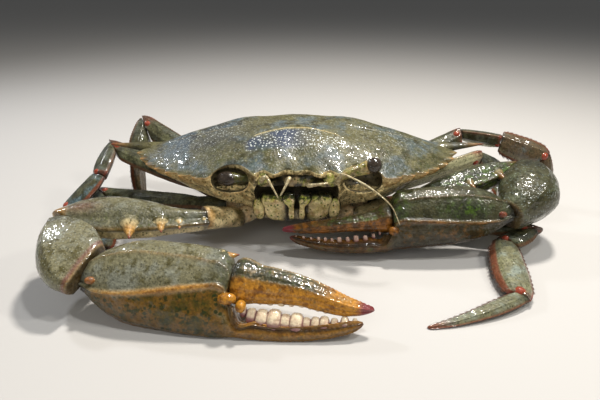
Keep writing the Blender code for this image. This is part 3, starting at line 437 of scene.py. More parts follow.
def wet_shell(name, base, layers, gloss=(0.3, 0.5), wrinkle=(1.0, 0.4), beads=(0.75, 0.3), film=(0.6, 1.0),
              grit=0.6, ripple=(3.0, 0.5)):
    """The finish of one kind of shell: its colours, granules and film of water.

    A layer is its colour, its strength, the marking that limits it and, unless it is even, its pattern: lumps
    or dots, their size in millimetres, where they begin and are full, and the share of dots that show.
    Wrinkle and beads are the size in millimetres and the strength of the surface's fine relief, and ripple
    the size and the depth of the water's. Film is how much water lies on the driest and the wettest spots,
    and grit how bright the fine dark specks are beside the rest."""
    material, tree, shader = fresh_material(name)
    here = put(tree, "ShaderNodeTexCoord").outputs["Object"]
    sockets = {"Vector": here, "Scale": 1000.0 / 1.4, "Detail": 2.0}
    sway = put(tree, "ShaderNodeTexNoise", sockets).outputs[1]
    aside = {0: sway, 1: (DOT_SWAY * MM,) * 3, 2: here}
    swayed = put(tree, "ShaderNodeVectorMath", aside, operation="MULTIPLY_ADD").outputs[0]
    # The colour, layer over layer, and the fine dark specks.
    colour = linear(base)
    for number, (over, strength, marking, *pattern) in enumerate(layers):
        shares = [strength]
        kind, size, low, high, kept = (*pattern, *(None,) * (5 - len(pattern)))
        if kind == "lumps":
            sockets = {"Vector": here, "W": number * 3.7, "Scale": 1000.0 / size, "Detail": 4.0}
            sockets["Roughness"] = 0.6
            shares.append(put(tree, "ShaderNodeTexNoise", sockets, noise_dimensions="4D").outputs[0])
        if kind == "dots":
            sockets = {"Vector": swayed, "Scale": 1000.0 / size, "Randomness": 0.85}
            cells = put(tree, "ShaderNodeTexVoronoi", sockets)
            shares.append(cells.outputs["Distance"])
            chance = put(tree, "ShaderNodeSeparateColor", {0: cells.outputs["Color"]}).outputs[0]
        if len(shares) > 1:
            ends = {"Value": shares[1], "From Min": low, "From Max": high, "To Max": strength}
            shares = [put(tree, "ShaderNodeMapRange", ends, interpolation_type="SMOOTHSTEP").outputs[0]]
        if kind == "dots":
            shares.append(put(tree, "ShaderNodeMath", {0: chance, 1: kept}, operation="LESS_THAN").outputs[0])
        if marking:
            shares.append(put(tree, "ShaderNodeAttribute", attribute_name=marking).outputs["Fac"])
        while len(shares) > 1:
            both = {0: shares.pop(), 1: shares.pop()}
            shares.append(put(tree, "ShaderNodeMath", both, operation="MULTIPLY").outputs[0])
        mixed = {0: shares[0], 6: colour, 7: linear(over)}
        colour = put(tree, "ShaderNodeMix", mixed, data_type="RGBA").outputs[2]
    sockets = {"Vector": here, "Scale": 1000.0 / 0.9, "Detail": 4.0, "Roughness": 0.7}
    speck = put(tree, "ShaderNodeTexNoise", sockets).outputs[0]
    ends = {"Value": speck, "From Min": 0.36, "From Max": 0.66, "To Min": 1.15, "To Max": grit}
    shade = put(tree, "ShaderNodeMapRange", ends).outputs[0]
    colour = put(tree, "ShaderNodeVectorMath", {0: colour, 3: shade}, operation="SCALE").outputs[0]
    tree.links.new(colour, shader.inputs["Base Color"])

    # The shine, the fine relief, and the film of water with its own ripples.
    damp = put(tree, "ShaderNodeTexNoise", {"Vector": here, "Scale": 1000.0 / 3.4, "Detail": 3.0}).outputs[0]
    ends = {"Value": damp, "From Min": 0.35, "From Max": 0.65, "To Min": gloss[0], "To Max": gloss[1]}
    tree.links.new(put(tree, "ShaderNodeMapRange", ends).outputs[0], shader.inputs["Roughness"])
    sockets = {"Vector": here, "Scale": 1000.0 / wrinkle[0], "Detail": 5.0}
    folds = put(tree, "ShaderNodeTexNoise", sockets).outputs[0]
    sockets = {"Strength": wrinkle[1], "Distance": 0.6 * MM, "Height": folds}
    folded = put(tree, "ShaderNodeBump", sockets).outputs[0]
    sockets = {"Vector": here, "Scale": 1000.0 / beads[0]}
    grains = put(tree, "ShaderNodeTexVoronoi", sockets, feature="SMOOTH_F1").outputs["Distance"]
    sockets = {"Strength": beads[1], "Distance": 0.4 * MM, "Height": grains, "Normal": folded}
    relief = put(tree, "ShaderNodeBump", sockets, invert=True).outputs[0]
    tree.links.new(relief, shader.inputs["Normal"])
    sockets = {"Vector": here, "Scale": 1000.0 / ripple[0], "Detail": 1.5}
    ripples = put(tree, "ShaderNodeTexNoise", sockets).outputs[0]
    sockets = {"Strength": 1.0, "Distance": ripple[1] * MM, "Height": ripples}
    film_shape = put(tree, "ShaderNodeBump", sockets).outputs[0]
    tree.links.new(film_shape, shader.inputs["Coat Normal"])
    ends = {"Value": damp, "From Min": 0.56, "From Max": 0.46, "To Min": film[0], "To Max": film[1]}
    tree.links.new(put(tree, "ShaderNodeMapRange", ends).outputs[0], shader.inputs["Coat Weight"])
    shader.inputs["Coat Roughness"].default_value = 0.05
    shader.inputs["Specular IOR Level"].default_value = 0.2
    shader.inputs["Coat IOR"].default_value = 1.42
    shader.inputs["IOR"].default_value = 1.54
    return material


# The rim is first drawn this finely, then read where its points are wanted.
FINE_RIM = 8000


def rim_line():
    """Points round the rim, twice as close together along the toothed front."""
    half = np.array(HALF_RIM)
    corners = np.vstack((half, half[-2:0:-1] * (-1, 1, 1)))
    steps = np.linalg.norm(np.roll(corners, -1, axis=0) - corners, axis=1)
    run = np.concatenate(([0.0], np.cumsum(steps)))
    whole = run[-1]
    wrapped = np.vstack((corners[-2:], corners, corners[:3]))
    at = np.concatenate((run[-3:-1] - whole, run, run[1:3] + whole))
    table = np.column_stack((at, wrapped))
    fine = np.linspace(0.0, whole, FINE_RIM, endpoint=False)
    share = np.concatenate(([0.0], np.cumsum(np.where(read_rows(table, fine)[:, 2] < 4.0, 2.0, 1.0))))
    wanted = np.arange(RIM_POINTS) / RIM_POINTS * share[-1]
    return read_rows(table, np.interp(wanted, share, np.arange(FINE_RIM + 1)) / FINE_RIM * whole)[:, 1:]


def toothed(rim):
    """The rim with its teeth drawn out of it."""
    along = np.roll(rim, -1, axis=0) - np.roll(rim, 1, axis=0)
    along[:, 2] = 0.0
    along /= np.linalg.norm(along, axis=1)[:, None]
    outward = np.column_stack((along[:, 1], -along[:, 0], np.full(len(rim), TOOTH_LIFT)))
    teeth = rim.copy()
    for side in (-1, 1):
        for x, y, length in RIM_TEETH:
            far = np.hypot(rim[:, 0] - x * side, rim[:, 1] - y)
            rise = np.clip(1 - far / TOOTH_HALF_WIDTH, 0, None) ** TOOTH_SHARPNESS
            lean = np.array((TOOTH_LEAN[0] * side, TOOTH_LEAN[1], 0.0))
            teeth += (outward + lean) * (length * rise)[:, None]
    return teeth


def softened(ring, passes):
    """A closed ring of points, each drawn towards its neighbours once in every pass."""
    for _ in range(passes):
        ring = (np.roll(ring, 1, axis=0) + 2 * ring + np.roll(ring, -1, axis=0)) / 4
    return ring


def line_height(x, y):
    """How high a fine raised line stands at a place on the back."""
    total = np.zeros(len(x))
    for line in BACK_LINES:
        for middle, half_span, along, arch, height in pair(line):
            ends = step(1.0, 0.8, np.abs(x - middle) / half_span)
            off = y - along - arch * (x - middle) ** 2
            total = np.maximum(total, height * ends * bump_at(0.0, LINE_HALF_WIDTH, off))
    return total


def belly_reach(ways):
    """How far places lie out from the middle of the belly, whose edge is at 1."""
    return ((np.abs(ways) / BELLY_HALF) ** 3).sum(axis=1) ** (1 / 3)


rim = rim_line()
tooth_rim = toothed(rim)
broad_rim = softened(rim, 500)
ring_count = TOP_RINGS + UNDER_RINGS
back_shell, turn, share = rolled_sheet("back_shell", RIM_POINTS, ring_count)
column = np.round(turn / (2 * math.pi) * RIM_POINTS).astype(int) % RIM_POINTS
down = (1.0 - share) * ring_count
on_top = down <= TOP_RINGS + 1e-4
out = 1 - (1 - np.clip(down / TOP_RINGS, 0.0, 1.0)) ** 1.3
keep = (out**18)[:, None]
edge = broad_rim[column] * (1 - keep) + rim[column] * keep
edge = edge + (tooth_rim - rim)[column] * step(0.982, 1.0, out)[:, None]
top = np.column_stack((edge[:, :2] * out[:, None] + np.array(BACK_CENTRE) * (1 - out)[:, None], edge[:, 2]))
x, y = top[:, 0], top[:, 1]
height = edge[:, 2] + (BACK_TOP_Z - edge[:, 2]) * (1 - out**BACK_ROUNDNESS)
for form in BACK_FORMS:
    for form_x, form_y, reach_x, reach_y, swell in pair(form):
        height += (1 - out**4) * swell * bump_at(form_x, reach_x, x) * bump_at(form_y, reach_y, y)
lines = line_height(x, y)
top[:, 2] = height + lines * (1 - out**8)
top[:, 2] += 0.16 * lumps(top, 4.0) * (1 - out**6) * on_top

below = np.clip((down - TOP_RINGS) / UNDER_RINGS, 0.0, 1.0)
off = broad_rim[column, :2] - (0.0, BELLY_CENTRE_Y)
foot = np.column_stack((off / belly_reach(off)[:, None] + (0.0, BELLY_CENTRE_Y), np.full(len(off), BELLY_Z)))
to_foot = np.clip(below * 1.25, 0.0, 1.0)
to_middle = np.clip(below * 5.0 - 4.0, 0.0, 1.0)[:, None]
turned_in = step(0.0, 0.12, below)[:, None]
lip = tooth_rim[column] * (1 - turned_in) + rim[column] * turned_in
lip[:, 2] -= RIM_THICKNESS * (1 - 0.5 * bump_at(0.0, 18.0, lip[:, 0])) * step(0.0, 0.05, below)
sweep = foot - lip
level = np.maximum(np.linalg.norm(sweep[:, :2], axis=1), 0.01)
swell = np.column_stack((sweep[:, :2] / level[:, None] * sweep[:, 2:3], -level))
swell /= np.linalg.norm(swell, axis=1)[:, None]
wall = UNDER_BULGE * np.sin(math.pi * to_foot) + 0.22 * np.sin(to_foot * 38.0) * step(0.2, 0.4, to_foot)
under = lip + sweep * to_foot[:, None] + swell * wall[:, None]
under = under * (1 - to_middle) + np.array((0.0, BELLY_CENTRE_Y, BELLY_Z)) * to_middle

moved = np.linalg.norm(tooth_rim - rim, axis=1)[column] / 3.0
front = step(-8.0, -24.0, y)
patch = step(-7.8, -9.6, y + 0.016 * x**2) * step(-21.5, -18.5, y) * step(20.5, 17.0, np.abs(x + 1.0))
right_patch = bump_at(-40.0, 11.0, x) * bump_at(-3.0, 8.0, y)
left_patch = bump_at(40.0, 10.0, x) * bump_at(-5.0, 7.0, y)
side_patch = right_patch + 0.7 * left_patch
right_slate = bump_at(-38.0, 20.0, x) * bump_at(-8.0, 14.0, y)
brow_line = 0.8 * step(0.994, 1.0, out) * front * bump_at(0.0, 26.0, x)
worn_rim = 0.45 * step(0.992, 1.0, out) * front * step(20.0, 32.0, np.abs(x))
worn_teeth = 0.8 * step(0.55, 1.0, moved) * step(0.985, 1.0, out)
face = step(0.9, 0.1, below) * step(0.0, -16.0, under[:, 1])
beside_mouth = bump_at(18.4, 3.4, np.abs(under[:, 0])) * step(-20.0, -26.0, under[:, 1])
# Painted shade on the wall under the rim: towards the belly, just under the brow, and beside the mouth.
shade = 0.25 * step(0.4, 0.9, below) + 0.5 * bump_at(0.0, 15.0, x) * bump_at(0.06, 0.06, below)
shade += 0.45 * beside_mouth * step(-0.3, 0.2, lumps(under, 2.6))
# Each marking as it shows on the top and on the turned-under wall.
back_marks = {
    "under": (0.45 * step(0.12, 0.32, lines) + brow_line, step(0.0, 0.03, below)),
    "warm": (worn_rim + worn_teeth, 0.7 * moved * step(0.12, 0.02, below) + 0.3 * step(0.16, 0.03, below)),
    "grain": (np.maximum(patch, 0.55 * side_patch) + 0.18 * bump_at(0.0, 60.0, x), 0.0),
    "slate": (patch * step(10.0, -5.0, x) + 0.5 * right_slate, 0.0),
    "dark": (0.0, shade),
    # The stain layers darken the front of the back and, more and more towards +X, its left half.
    "stain": (0.35 * front + 0.3 * step(5.0, 40.0, x), face * bump_at(0.0, 44.0, x)),
}
marks = {label: np.where(on_top, *both) for label, both in back_marks.items()}
close_form(back_shell, np.where(on_top[:, None], top, under), **marks)
welds = []
cutters = []
for side in (-1, 1):
    mirror = np.array((side, 1, 1))
    base, tip = np.array(SPINE_BASE) * mirror, np.array(SPINE_TIP) * mirror
    spine, places, place, _ = draw_limb("spine", base, tip, (0, 1, 0), SPINE_ROWS, 24, 40)
    point = step(0.8, 1.0, place)
    close_form(spine, places, warm=step(0.55, 0.9, place), tip=point, dark=0.5 * step(0.2, 0.5, place))
    welds.append(spine)
    brow_rim = [(px * side, py, pz, radius) for px, py, pz, radius in SOCKET_RIM]
    ridge, places, _, turn = draw_tube("socket_rim", brow_rim, 16, 60)
    close_form(ridge, places, under=1.0, warm=0.6 * step(0.0, 0.9, np.sin(turn)))
    welds.append(ridge)
    # The socket's cut face is painted shade inside, behind its cream front lip.
    socket, places, _, _ = draw_ball("socket", np.array(SOCKET_CENTRE) * mirror, SOCKET_RADII, 64, 40, 2.5)
    close_form(socket, places, under=1.0, dark=0.92 * step(-35.5, -33.5, places[:, 1]))
    cutters.append(socket)
# The mouth's cut face is painted dark all over: painted shade in the opening.
mouth, places, _, _ = draw_ball("mouth", MOUTH_CENTRE, MOUTH_RADII, 64, 48, 3.6)
close_form(mouth, places, under=1.0, dark=1.0, stain=0.4)
cutters.append(mouth)
weld(back_shell, welds)
weld(back_shell, cutters, "DIFFERENCE")

# Wet living shell: olive lime over slate blue, worn pale on the granules. The film of sea water gives small
# sharp glints, and the shell under it a broad soft shine.
BACK_FINISH = wet_shell(
    "wet_olive_shell",
    "#5F5B3C",
    (
        ("#566368", 0.85, None, "lumps", 15.0, 0.46, 0.62),
        ("#3A361C", 0.85, None, "lumps", 5.0, 0.48, 0.64),
        ("#7E7C5C", 0.6, None, "lumps", 2.0, 0.54, 0.7),
        ("#3B455A", 0.9, "slate", "lumps", 9.0, 0.2, 0.5),
        ("#33401C", 0.85, "stain", "lumps", 3.0, 0.5, 0.64),
        ("#CDD2CC", 0.92, "grain", "dots", 1.15, 0.35, 0.25, 1.0),
        ("#F4DEA2", 1.0, "under"),
        ("#8C662E", 0.65, "under", "lumps", 4.0, 0.48, 0.64),
        ("#37421A", 0.9, "under", "dots", 1.3, 0.4, 0.26, 0.6),
        ("#262C08", 0.92, "stain", "lumps", 1.9, 0.46, 0.55),
        ("#A67C44", 1.0, "warm", "lumps", 1.8, 0.2, 0.5),
        ("#97402F", 0.9, "tip"),
        ("#14130C", 0.97, "dark"),
    ),
    film=(0.0, 0.5),
    ripple=(2.3, 0.5),
)
fit(back_shell, "carapace", BACK_FINISH)

# Breastplate. The jointed cream plate under the body, fused from bands whose seams still show as grooves,
# with a short root for every limb. It is smooth chitin, worn yellow where it drags on the sand.
PLATE_FRONT_Y = -21.8
# The plate's section, from the middle below round the edge to the middle above: share of the way, reach and
# height.
PLATE_PROFILE = (
    (0, 0, 8.0), (0.3, 0.72, 8.0), (0.42, 0.83, 8.5), (0.5, 0.9, 9.6), (0.7, 0.93, 14.4), (1, 0, 14.7),
)
PLATE_GROOVES = (-15.5, -3.5, 8.5, 20.5)
COXA_RADIUS = 4.2
COXA_ROWS = ((0, 3.6, 2.6), (0.7, COXA_RADIUS, 3.6), (1.12, 3.4, 3.2))
LIMB_ROOTS = {
    "cheliped": (24.0, -21.5, 11.0),
    "leg1": (31.0, -9.5, 10.4),
    "leg2": (33.5, 2.5, 10.4),
    "leg3": (31.5, 14.5, 10.8),
    "swimmer": (25.5, 27.0, 11.2),
}
# Joints from the coxa outwards. Right is the crab's own right, at -X.
LEG_JOINTS = {
    ("leg1", -1): ((-90.8, 1.5, 11.0), (-87.0, -17.5, 8.5), (-76.0, -39.5, 4.5), (-47.0, -56.0, 0.3)),
    ("leg2", -1): ((-87.3, 15.5, 29.0), (-88.1, -1.1, 21.0), (-101.0, -10.0, 9.0), (-94.0, -37.0, 0.3)),
    ("leg3", -1): ((-77.2, 35.9, 34.8), (-79.5, 25.7, 24.0), (-77.0, 14.3, 3.6), (-79.0, -10.0, 0.3)),
    ("leg1", 1): ((95.8, -27.4, 7.0), (82.9, -33.0, 5.0), (76.2, -65.6, 2.6), (41.7, -78.4, 0.3)),
    ("leg2", 1): ((84.9, 12.8, 25.0), (98.2, 21.0, 17.0), (100.0, 5.0, 4.2), (76.0, -9.0, 0.3)),
    ("leg3", 1): ((79.9, 25.6, 32.0), (96.4, 18.4, 31.0), (117.9, 15.6, 24.0), (118.6, 7.6, 0.3)),
}
SWIMMER_JOINTS = ((46.0, 40.0, 19.0), (56.0, 50.0, 15.0), (56.0, 69.0, 5.6), (44.0, 94.0, 1.0))
CLAW_JOINTS = {
    -1: ((-36.0, -34.0, 17.0), (-82.0, -47.5, 21.5), (-68.0, -66.2, 12.3), (21.0, -81.5, 5.0)),
    1: ((40.0, -18.6, 14.8), (91.0, -8.4, 25.0), (82.6, -30.7, 16.5), (-3.0, -34.4, 9.0)),
}
SIDES = ((-1, "right"), (1, "left"))
for side in (-1, 1):
    LEG_JOINTS["swimmer", side] = [(x * side, y, z) for x, y, z in SWIMMER_JOINTS]


def unit(vector):
    """The same way with a length of 1."""
    vector = np.array(vector, float)
    return vector / np.linalg.norm(vector)


def root_of(limb, side):
    """Where a limb's coxa meets its next piece."""
    x, y, z = LIMB_ROOTS[limb]
    return np.array((x * side, y, z))


def inner_end(limb, side):
    """The end of a limb's coxa that is sunk in the breastplate."""
    x, y, z = LIMB_ROOTS[limb]
    return np.array((x * 0.55 * side, y * 0.6 + 2.0, z + 1.0))


def bend_normal(points, k):
    """The way out of the plane that halves the bend at joint k."""
    before, at, after = (np.array(points[i], float) for i in (k - 1, k, k + 1))
    return unit(unit(at - before) + unit(after - at))


def stops_of(points, k, near_normal=None, far_normal=None):
    """The joint planes at both ends of piece k of a limb."""
    near = bend_normal(points, k) if near_normal is None else np.array(near_normal)
    stops = [(points[k], -near)]
    if k + 2 < len(points):
        far = bend_normal(points, k + 1) if far_normal is None else np.array(far_normal)
        stops.append((points[k + 1], far))
    return stops + [None] * (2 - len(stops))


plate, turn, share = rolled_sheet("breastplate", 200, 60)
_, reach, z = read_rows(PLATE_PROFILE, share).T
way = np.column_stack((np.cos(turn), np.sin(turn)))
spread = way * (np.clip(reach, 0, 1) / belly_reach(way))[:, None]
places = np.column_stack((spread[:, 0], np.maximum(BELLY_CENTRE_Y + spread[:, 1], PLATE_FRONT_Y), z))
grooves = sum(bump_at(y, 0.7, places[:, 1] + 0.12 * np.abs(places[:, 0])) for y in PLATE_GROOVES)
places[:, 2] += 0.5 * grooves * step(10.0, 9.0, places[:, 2]) * step(0.05, 0.2, share)
close_form(plate, places, under=1.0, dark=0.5 * grooves)
coxae = []
for limb in LIMB_ROOTS:
    for side, word in SIDES:
        first = CLAW_JOINTS[side][0] if limb == "cheliped" else LEG_JOINTS[(limb, side)][0]
        line = [inner_end(limb, side), root_of(limb, side), first]
        stop = (line[1], bend_normal(line, 1))
        coxa, places, place, _ = draw_limb("coxa", *line[:2], (0, 1, 0), COXA_ROWS, 32, 30, far=stop)
        shade = 0.6 * step(0.9, 1.0, place)
        close_form(coxa, places, under=1.0, warm=0.4 * step(0.5, 0.9, place), dark=shade)
        coxae.append(coxa)
weld(plate, coxae)

# Smooth cream chitin under the body, with green specks and brown seams.
BELLY_FINISH = wet_shell(
    "cream_belly_shell",
    "#CBBB94",
    (
        ("#AD8C5C", 0.7, None, "lumps", 6.0, 0.48, 0.66),
        ("#39441C", 0.8, None, "dots", 1.8, 0.42, 0.3, 0.4),
        ("#B8722C", 0.9, "warm", "lumps", 2.5, 0.3, 0.6),
        ("#2A2415", 0.9, "dark"),
    ),
)
fit(plate, "thorax", BELLY_FINISH)

# Tail. The broad round apron of an adult female, six segments and the tip, folded flat under the breastplate.
# Each segment is a thin curved plate that laps over the next, with a soft seam between.
TAIL_EDGES = (34.0, 27.5, 21.0, 14.5, 8.5, 3.0, -2.5, -9.5)
TAIL_HALVES = (19.0, 20.5, 20.0, 18.5, 16.5, 14.0, 9.5, 2.2)
TAIL_MIDDLE_Z = 6.25
TAIL_HALF_DEPTH = 1.5
for number in range(len(TAIL_EDGES) - 1):
    start, end = TAIL_EDGES[number], TAIL_EDGES[number + 1]
    wide, narrow = TAIL_HALVES[number], TAIL_HALVES[number + 1]
    rows = (
        (-0.06, wide - 1.2, 0.8, 0, 0),
        (0.05, wide - 0.3, 1.3, 0, 0),
        (0.5, (wide + narrow) / 2, TAIL_HALF_DEPTH, 0, 0),
        (0.9, narrow, 1.35, 0, 0),
        (1.0, narrow - 0.5, 1.0, 0, 0),
    )
    name = f"tail_plate_{number + 1}"
    ends = ((0, start, TAIL_MIDDLE_Z), (0, end + 0.2, TAIL_MIDDLE_Z))
    tail_plate, places, place, _ = draw_limb(name, *ends, (1, 0, 0), rows, 72, 24, 2.4)
    seam = step(0.1, 0.0, place) + step(0.9, 1.0, place)
    close_form(tail_plate, places, under=1.0, warm=0.35 * seam, dark=0.35 * seam)
    fit(tail_plate, "abdomen", BELLY_FINISH)

# Mouth frame and mouth limbs. A pitted cream bar runs between the eye sockets over a dark opening, which two
# pairs of flat limbs close like doors: a broad blade, a folded palp and a slender outer branch on each side.
BAR_CENTRE = (0.0, -25.9, 29.6)
BAR_RADII = (17.2, 2.3, 2.7)
bar, places, _, _ = draw_ball("mouth_frame", BAR_CENTRE, BAR_RADII, 120, 60, 5.0)
pits = sum(bump_at(x, 3.6, places[:, 0]) * bump_at(31.2, 1.7, places[:, 2]) for x in (-8.6, 8.6))
septum = bump_at(0.0, 1.0, places[:, 0]) * step(28.0, 31.0, places[:, 2])
front_face = step(-24.5, -27.5, places[:, 1])
places[:, 1] += front_face * (2.2 * pits - 0.5 * septum + 0.35 * lumps(places, 2.2))
places[:, 2] += 0.9 * step(28.5, 27.0, places[:, 2]) * bump_at(0.0, 3.0, np.abs(places[:, 0]) - 6.0)
# The dark marking: a little all over, painted shade in the two pits, dark blotches, and less on the middle
# ridge.
pit_shade_and_blotches = np.clip(0.25 + 1.4 * pits + step(-0.2, 0.3, lumps(places, 2.4, 5.0)) - 0.6 * septum, 0, 1)
close_form(bar, places, dark=pit_shade_and_blotches, tan=0.6, stain=step(-0.1, 0.3, lumps(places, 3.0, 2.0)))
MOUTH_FINISH = wet_shell(
    "cream_mouth_shell",
    "#DFC797",
    (
        ("#9A7642", 0.75, None, "lumps", 3.4, 0.46, 0.64),
        ("#6B5632", 0.9, "tan"),
        ("#43521A", 0.95, None, "dots", 1.3, 0.42, 0.26, 0.5),
        ("#A0AC3A", 0.85, "stain", "lumps", 2.0, 0.36, 0.56),
        ("#222E08", 0.95, "stain", "lumps", 1.4, 0.46, 0.55),
        ("#C27C34", 0.9, "warm", "lumps", 2.0, 0.3, 0.6),
        ("#14130C", 0.96, "dark"),
    ),
    gloss=(0.2, 0.4),
    grit=0.85,
)
fit(bar, "epistome", MOUTH_FINISH)

BLADE_ROWS = (
    (0, 3.0, 1.8, -2.4), (0.12, 4.8, 3.0, -1.6), (0.5, 6.1, 3.4, -0.2), (0.92, 6.3, 3.3, 0.2),
    (1, 5.6, 2.6, 0.2),
)
BRANCH_ROWS = ((0, 1.2, 1.6), (0.2, 2.2, 2.8), (0.8, 2.1, 2.8), (1, 1.0, 1.6))
PALP_ROWS = (
    (0, 1.0, 0.9), (0.2, 1.5, 1.3), (0.56, 1.6, 1.3), (0.66, 2.4, 1.6, 0.4), (0.86, 2.7, 1.8, 0.6),
    (1, 1.7, 1.2, 0.5),
)
# How far from the middle the blade is covered by the palp and darkened with its painted shade.
PALP_GROOVE = 5.6
# Each mouth limb's low and high end, rows and squareness.
MOUTH_LIMBS = (
    ("blade", (8.2, -24.7, 11.6), (7.6, -25.1, 24.2), BLADE_ROWS, 4.5),
    ("outer_branch", (14.6, -25.7, 12.6), (15.6, -25.7, 22.6), BRANCH_ROWS, 2.4),
    ("palp", (1.9, -28.7, 13.4), (2.7, -28.4, 25.0), PALP_ROWS, 2.2),
)
for side, word in SIDES:
    for part, low, high, rows, square in MOUTH_LIMBS:
        mirror = np.array((side, 1, 1))
        ends = (np.array(low) * mirror, np.array(high) * mirror)
        name = f"mouth_{part}_{word}"
        mouth_limb, places, place, angle = draw_limb(name, *ends, (side, 0, 0), rows, 48, 48, square)
        to_side = 90.0 - np.abs(np.abs(angle) - 90.0)
        # Painted shade along the ends and sides of each limb, in the gaps between them, and on the blade
        # under the palp.
        edge_shade = step(0.12, 0.02, np.minimum(place, 1 - place)) + step(50.0, 36.0, to_side)
        if part == "blade":
            edge_shade = edge_shade + step(PALP_GROOVE, PALP_GROOVE - 1.2, np.abs(places[:, 0]))
        green = 0.3 + 0.7 * step(0.72, 0.95, place) + 0.5 * (part == "palp") * step(0.5, 0.7, place)
        close_form(mouth_limb, places, stain=green, dark=np.clip(edge_shade, 0, 1))
        fit(mouth_limb, f"maxilliped_{word}", MOUTH_FINISH)

# Eyes. Each is a hard bead of tiny facets on a short jointed stalk of its own. The right one lies folded in
# its socket and the left one stands out over the brow.
STALK_ENDS = {
    "right": ((-18.6, -26.4, 30.2), (-27.0, -27.2, 30.4)),
    "left": ((18.0, -29.6, 33.0), (28.9, -32.4, 38.0)),
}
EYE_RADII = {"right": (4.2, 3.0, 2.9), "left": (2.9, 2.9, 3.0)}
STALK_ROWS = ((-0.1, 1.9, 1.9), (0.3, 1.9, 1.9), (0.6, 2.3, 2.3), (0.84, 2.75, 2.75))
# How brown and dark the stalks are: the right one lies in the shade of its socket.
STALK_SHADE = {"right": 1.0, "left": 0.35}
EYE_FINISH = wet_shell(
    "dark_faceted_eye",
    "#40362D",
    (
        ("#1F1A16", 0.7, None, "lumps", 2.5, 0.4, 0.6),
        ("#6B6256", 0.35, None, "dots", 0.35, 0.4, 0.2, 0.9),
    ),
    gloss=(0.16, 0.3),
    wrinkle=(2.0, 0.05),
    beads=(0.35, 0.12),
    film=(1.0, 1.0),
)
for word, (low, high) in STALK_ENDS.items():
    stalk, places, place, _ = draw_limb(f"stalk_{word}", low, high, (0, 0, 1), STALK_ROWS, 32, 40)
    shade = STALK_SHADE[word]
    close_form(stalk, places, tan=shade, dark=0.75 * shade, stain=0.5, warm=0.3 * step(0.6, 0.9, place))
    fit(stalk, f"eyestalk_{word}", MOUTH_FINISH)
    bead, places, _, _ = draw_ball(f"bead_{word}", high, EYE_RADII[word], 48, 32)
    close_form(bead, places)
    fit(bead, f"eye_{word}", EYE_FINISH)

# Feelers. Two whips outside and two short feelers inside, each a stiff cream chain of tiny rings. A route's
# points are places and radii.
FEELERS = {
    "antenna_left": (
        (15.0, -28.2, 29.4, 1.3), (15.4, -30.8, 30.6, 1.2), (16.4, -34.0, 34.2, 0.8),
        (17.6, -36.2, 35.8, 0.42), (24.2, -40.0, 33.8, 0.34), (29.7, -43.0, 30.8, 0.28),
        (34.3, -45.0, 26.7, 0.22), (37.5, -46.0, 20.1, 0.15),
    ),
    "antenna_right": (
        (-14.0, -28.2, 29.4, 1.3), (-13.4, -30.4, 31.2, 1.1), (-11.4, -32.6, 33.2, 0.7),
        (-9.2, -34.4, 30.2, 0.4), (-6.9, -35.4, 25.9, 0.25),
    ),
    "antennule_right": (
        (-4.0, -28.2, 29.6, 1.1), (-3.4, -30.2, 31.2, 1.0), (-2.7, -32.8, 32.8, 0.7),
        (-4.4, -34.8, 30.0, 0.5), (-6.1, -35.6, 27.0, 0.28),
    ),
    "antennule_left": (
        (4.6, -28.2, 28.6, 1.1), (4.8, -30.4, 29.0, 1.0), (6.6, -32.4, 30.0, 0.7),
        (9.6, -32.8, 30.6, 0.5), (12.0, -32.2, 30.8, 0.25),
    ),
}
RING_LENGTH = 0.55
POINTS_PER_RING = 4
# The block at the root of each whip, between the eye socket and the pit.
WHIP_ROOT = (13.6, -28.4, 31.4)
WHIP_ROOT_RADII = (3.2, 2.4, 2.7)
FEELER_FINISH = wet_shell(
    "horny_feeler",
    "#C9BC95",
    (
        ("#8A7048", 0.7, None, "lumps", 1.5, 0.45, 0.6),
        ("#55562B", 0.7, "stain", "lumps", 2.0, 0.4, 0.6),
    ),
)
for side, word in SIDES:
    centre = np.array(WHIP_ROOT) * (side, 1, 1)
    block, places, _, _ = draw_ball(f"whip_root_{word}", centre, WHIP_ROOT_RADII, 40, 28, 2.8)
    places = places + 0.35 * lumps(places, 2.0)[:, None] * unit((side * 0.3, -1.0, 0.2))
    # Painted shade on the block's back part, under the brow.
    close_form(block, places, stain=0.8, dark=0.8 * step(-28.5, -26.5, places[:, 1]))
    fit(block, f"antenna_{word}", MOUTH_FINISH)
for name, route in FEELERS.items():
    length = sum(math.dist(a[:3], b[:3]) for a, b in zip(route, route[1:]))
    rings = int(length / RING_LENGTH * POINTS_PER_RING)
    feeler, places, share, _ = draw_tube(f"{name}_chain", route, 12, rings)
    close_form(feeler, places, stain=step(0.35, 0.1, share))
    fit(feeler, name, FEELER_FINISH)

# Claws. Each is five hard pieces on peg joints: root, arm, wrist, palm with its fixed finger, and the moving
# finger. The right one is the crusher with blunt teeth. Olive above and cream to tan below, orange on the
# ridges and fingers, purple at the tips. Values by side have the right claw's at -1 and the left claw's at 1.
PALM_UP = {-1: (0.0, 0.56, 0.83), 1: (0.0, 0.35, 0.94)}
ARM_BROAD = {-1: (0.0, -0.94, -0.34), 1: (0.0, -0.98, -0.2)}
WRIST_OUT = {-1: (-0.85, -0.1, 0.05), 1: (0.95, -0.1, 0.1)}
# The way out of the wrist through its joint with the palm.
WRIST_CUT = {-1: (0.93, -0.34, -0.16), 1: (-0.8, -0.55, -0.24)}
# How square the wrist is in section, from 2 for round.
WRIST_SQUARE = {-1: 3.3, 1: 2.2}
# The share of the palm piece up to the hinge; beyond it is the fixed finger.
PALM_SHARE = 0.53
# The palm's breadth, shift up and thickness beside its rows.
PALM_SCALE = {-1: 1.1, 1: 0.87}
PALM_RISE = {-1: 0.0, 1: 1.6}
PALM_THICKNESS = {-1: 1.0, 1: 0.88}
# The fixed finger's size beside the rows, and how far it is shifted up.
FIXED_FINGER_FORM = {-1: (1.0, 0.0), 1: (0.86, 1.1)}
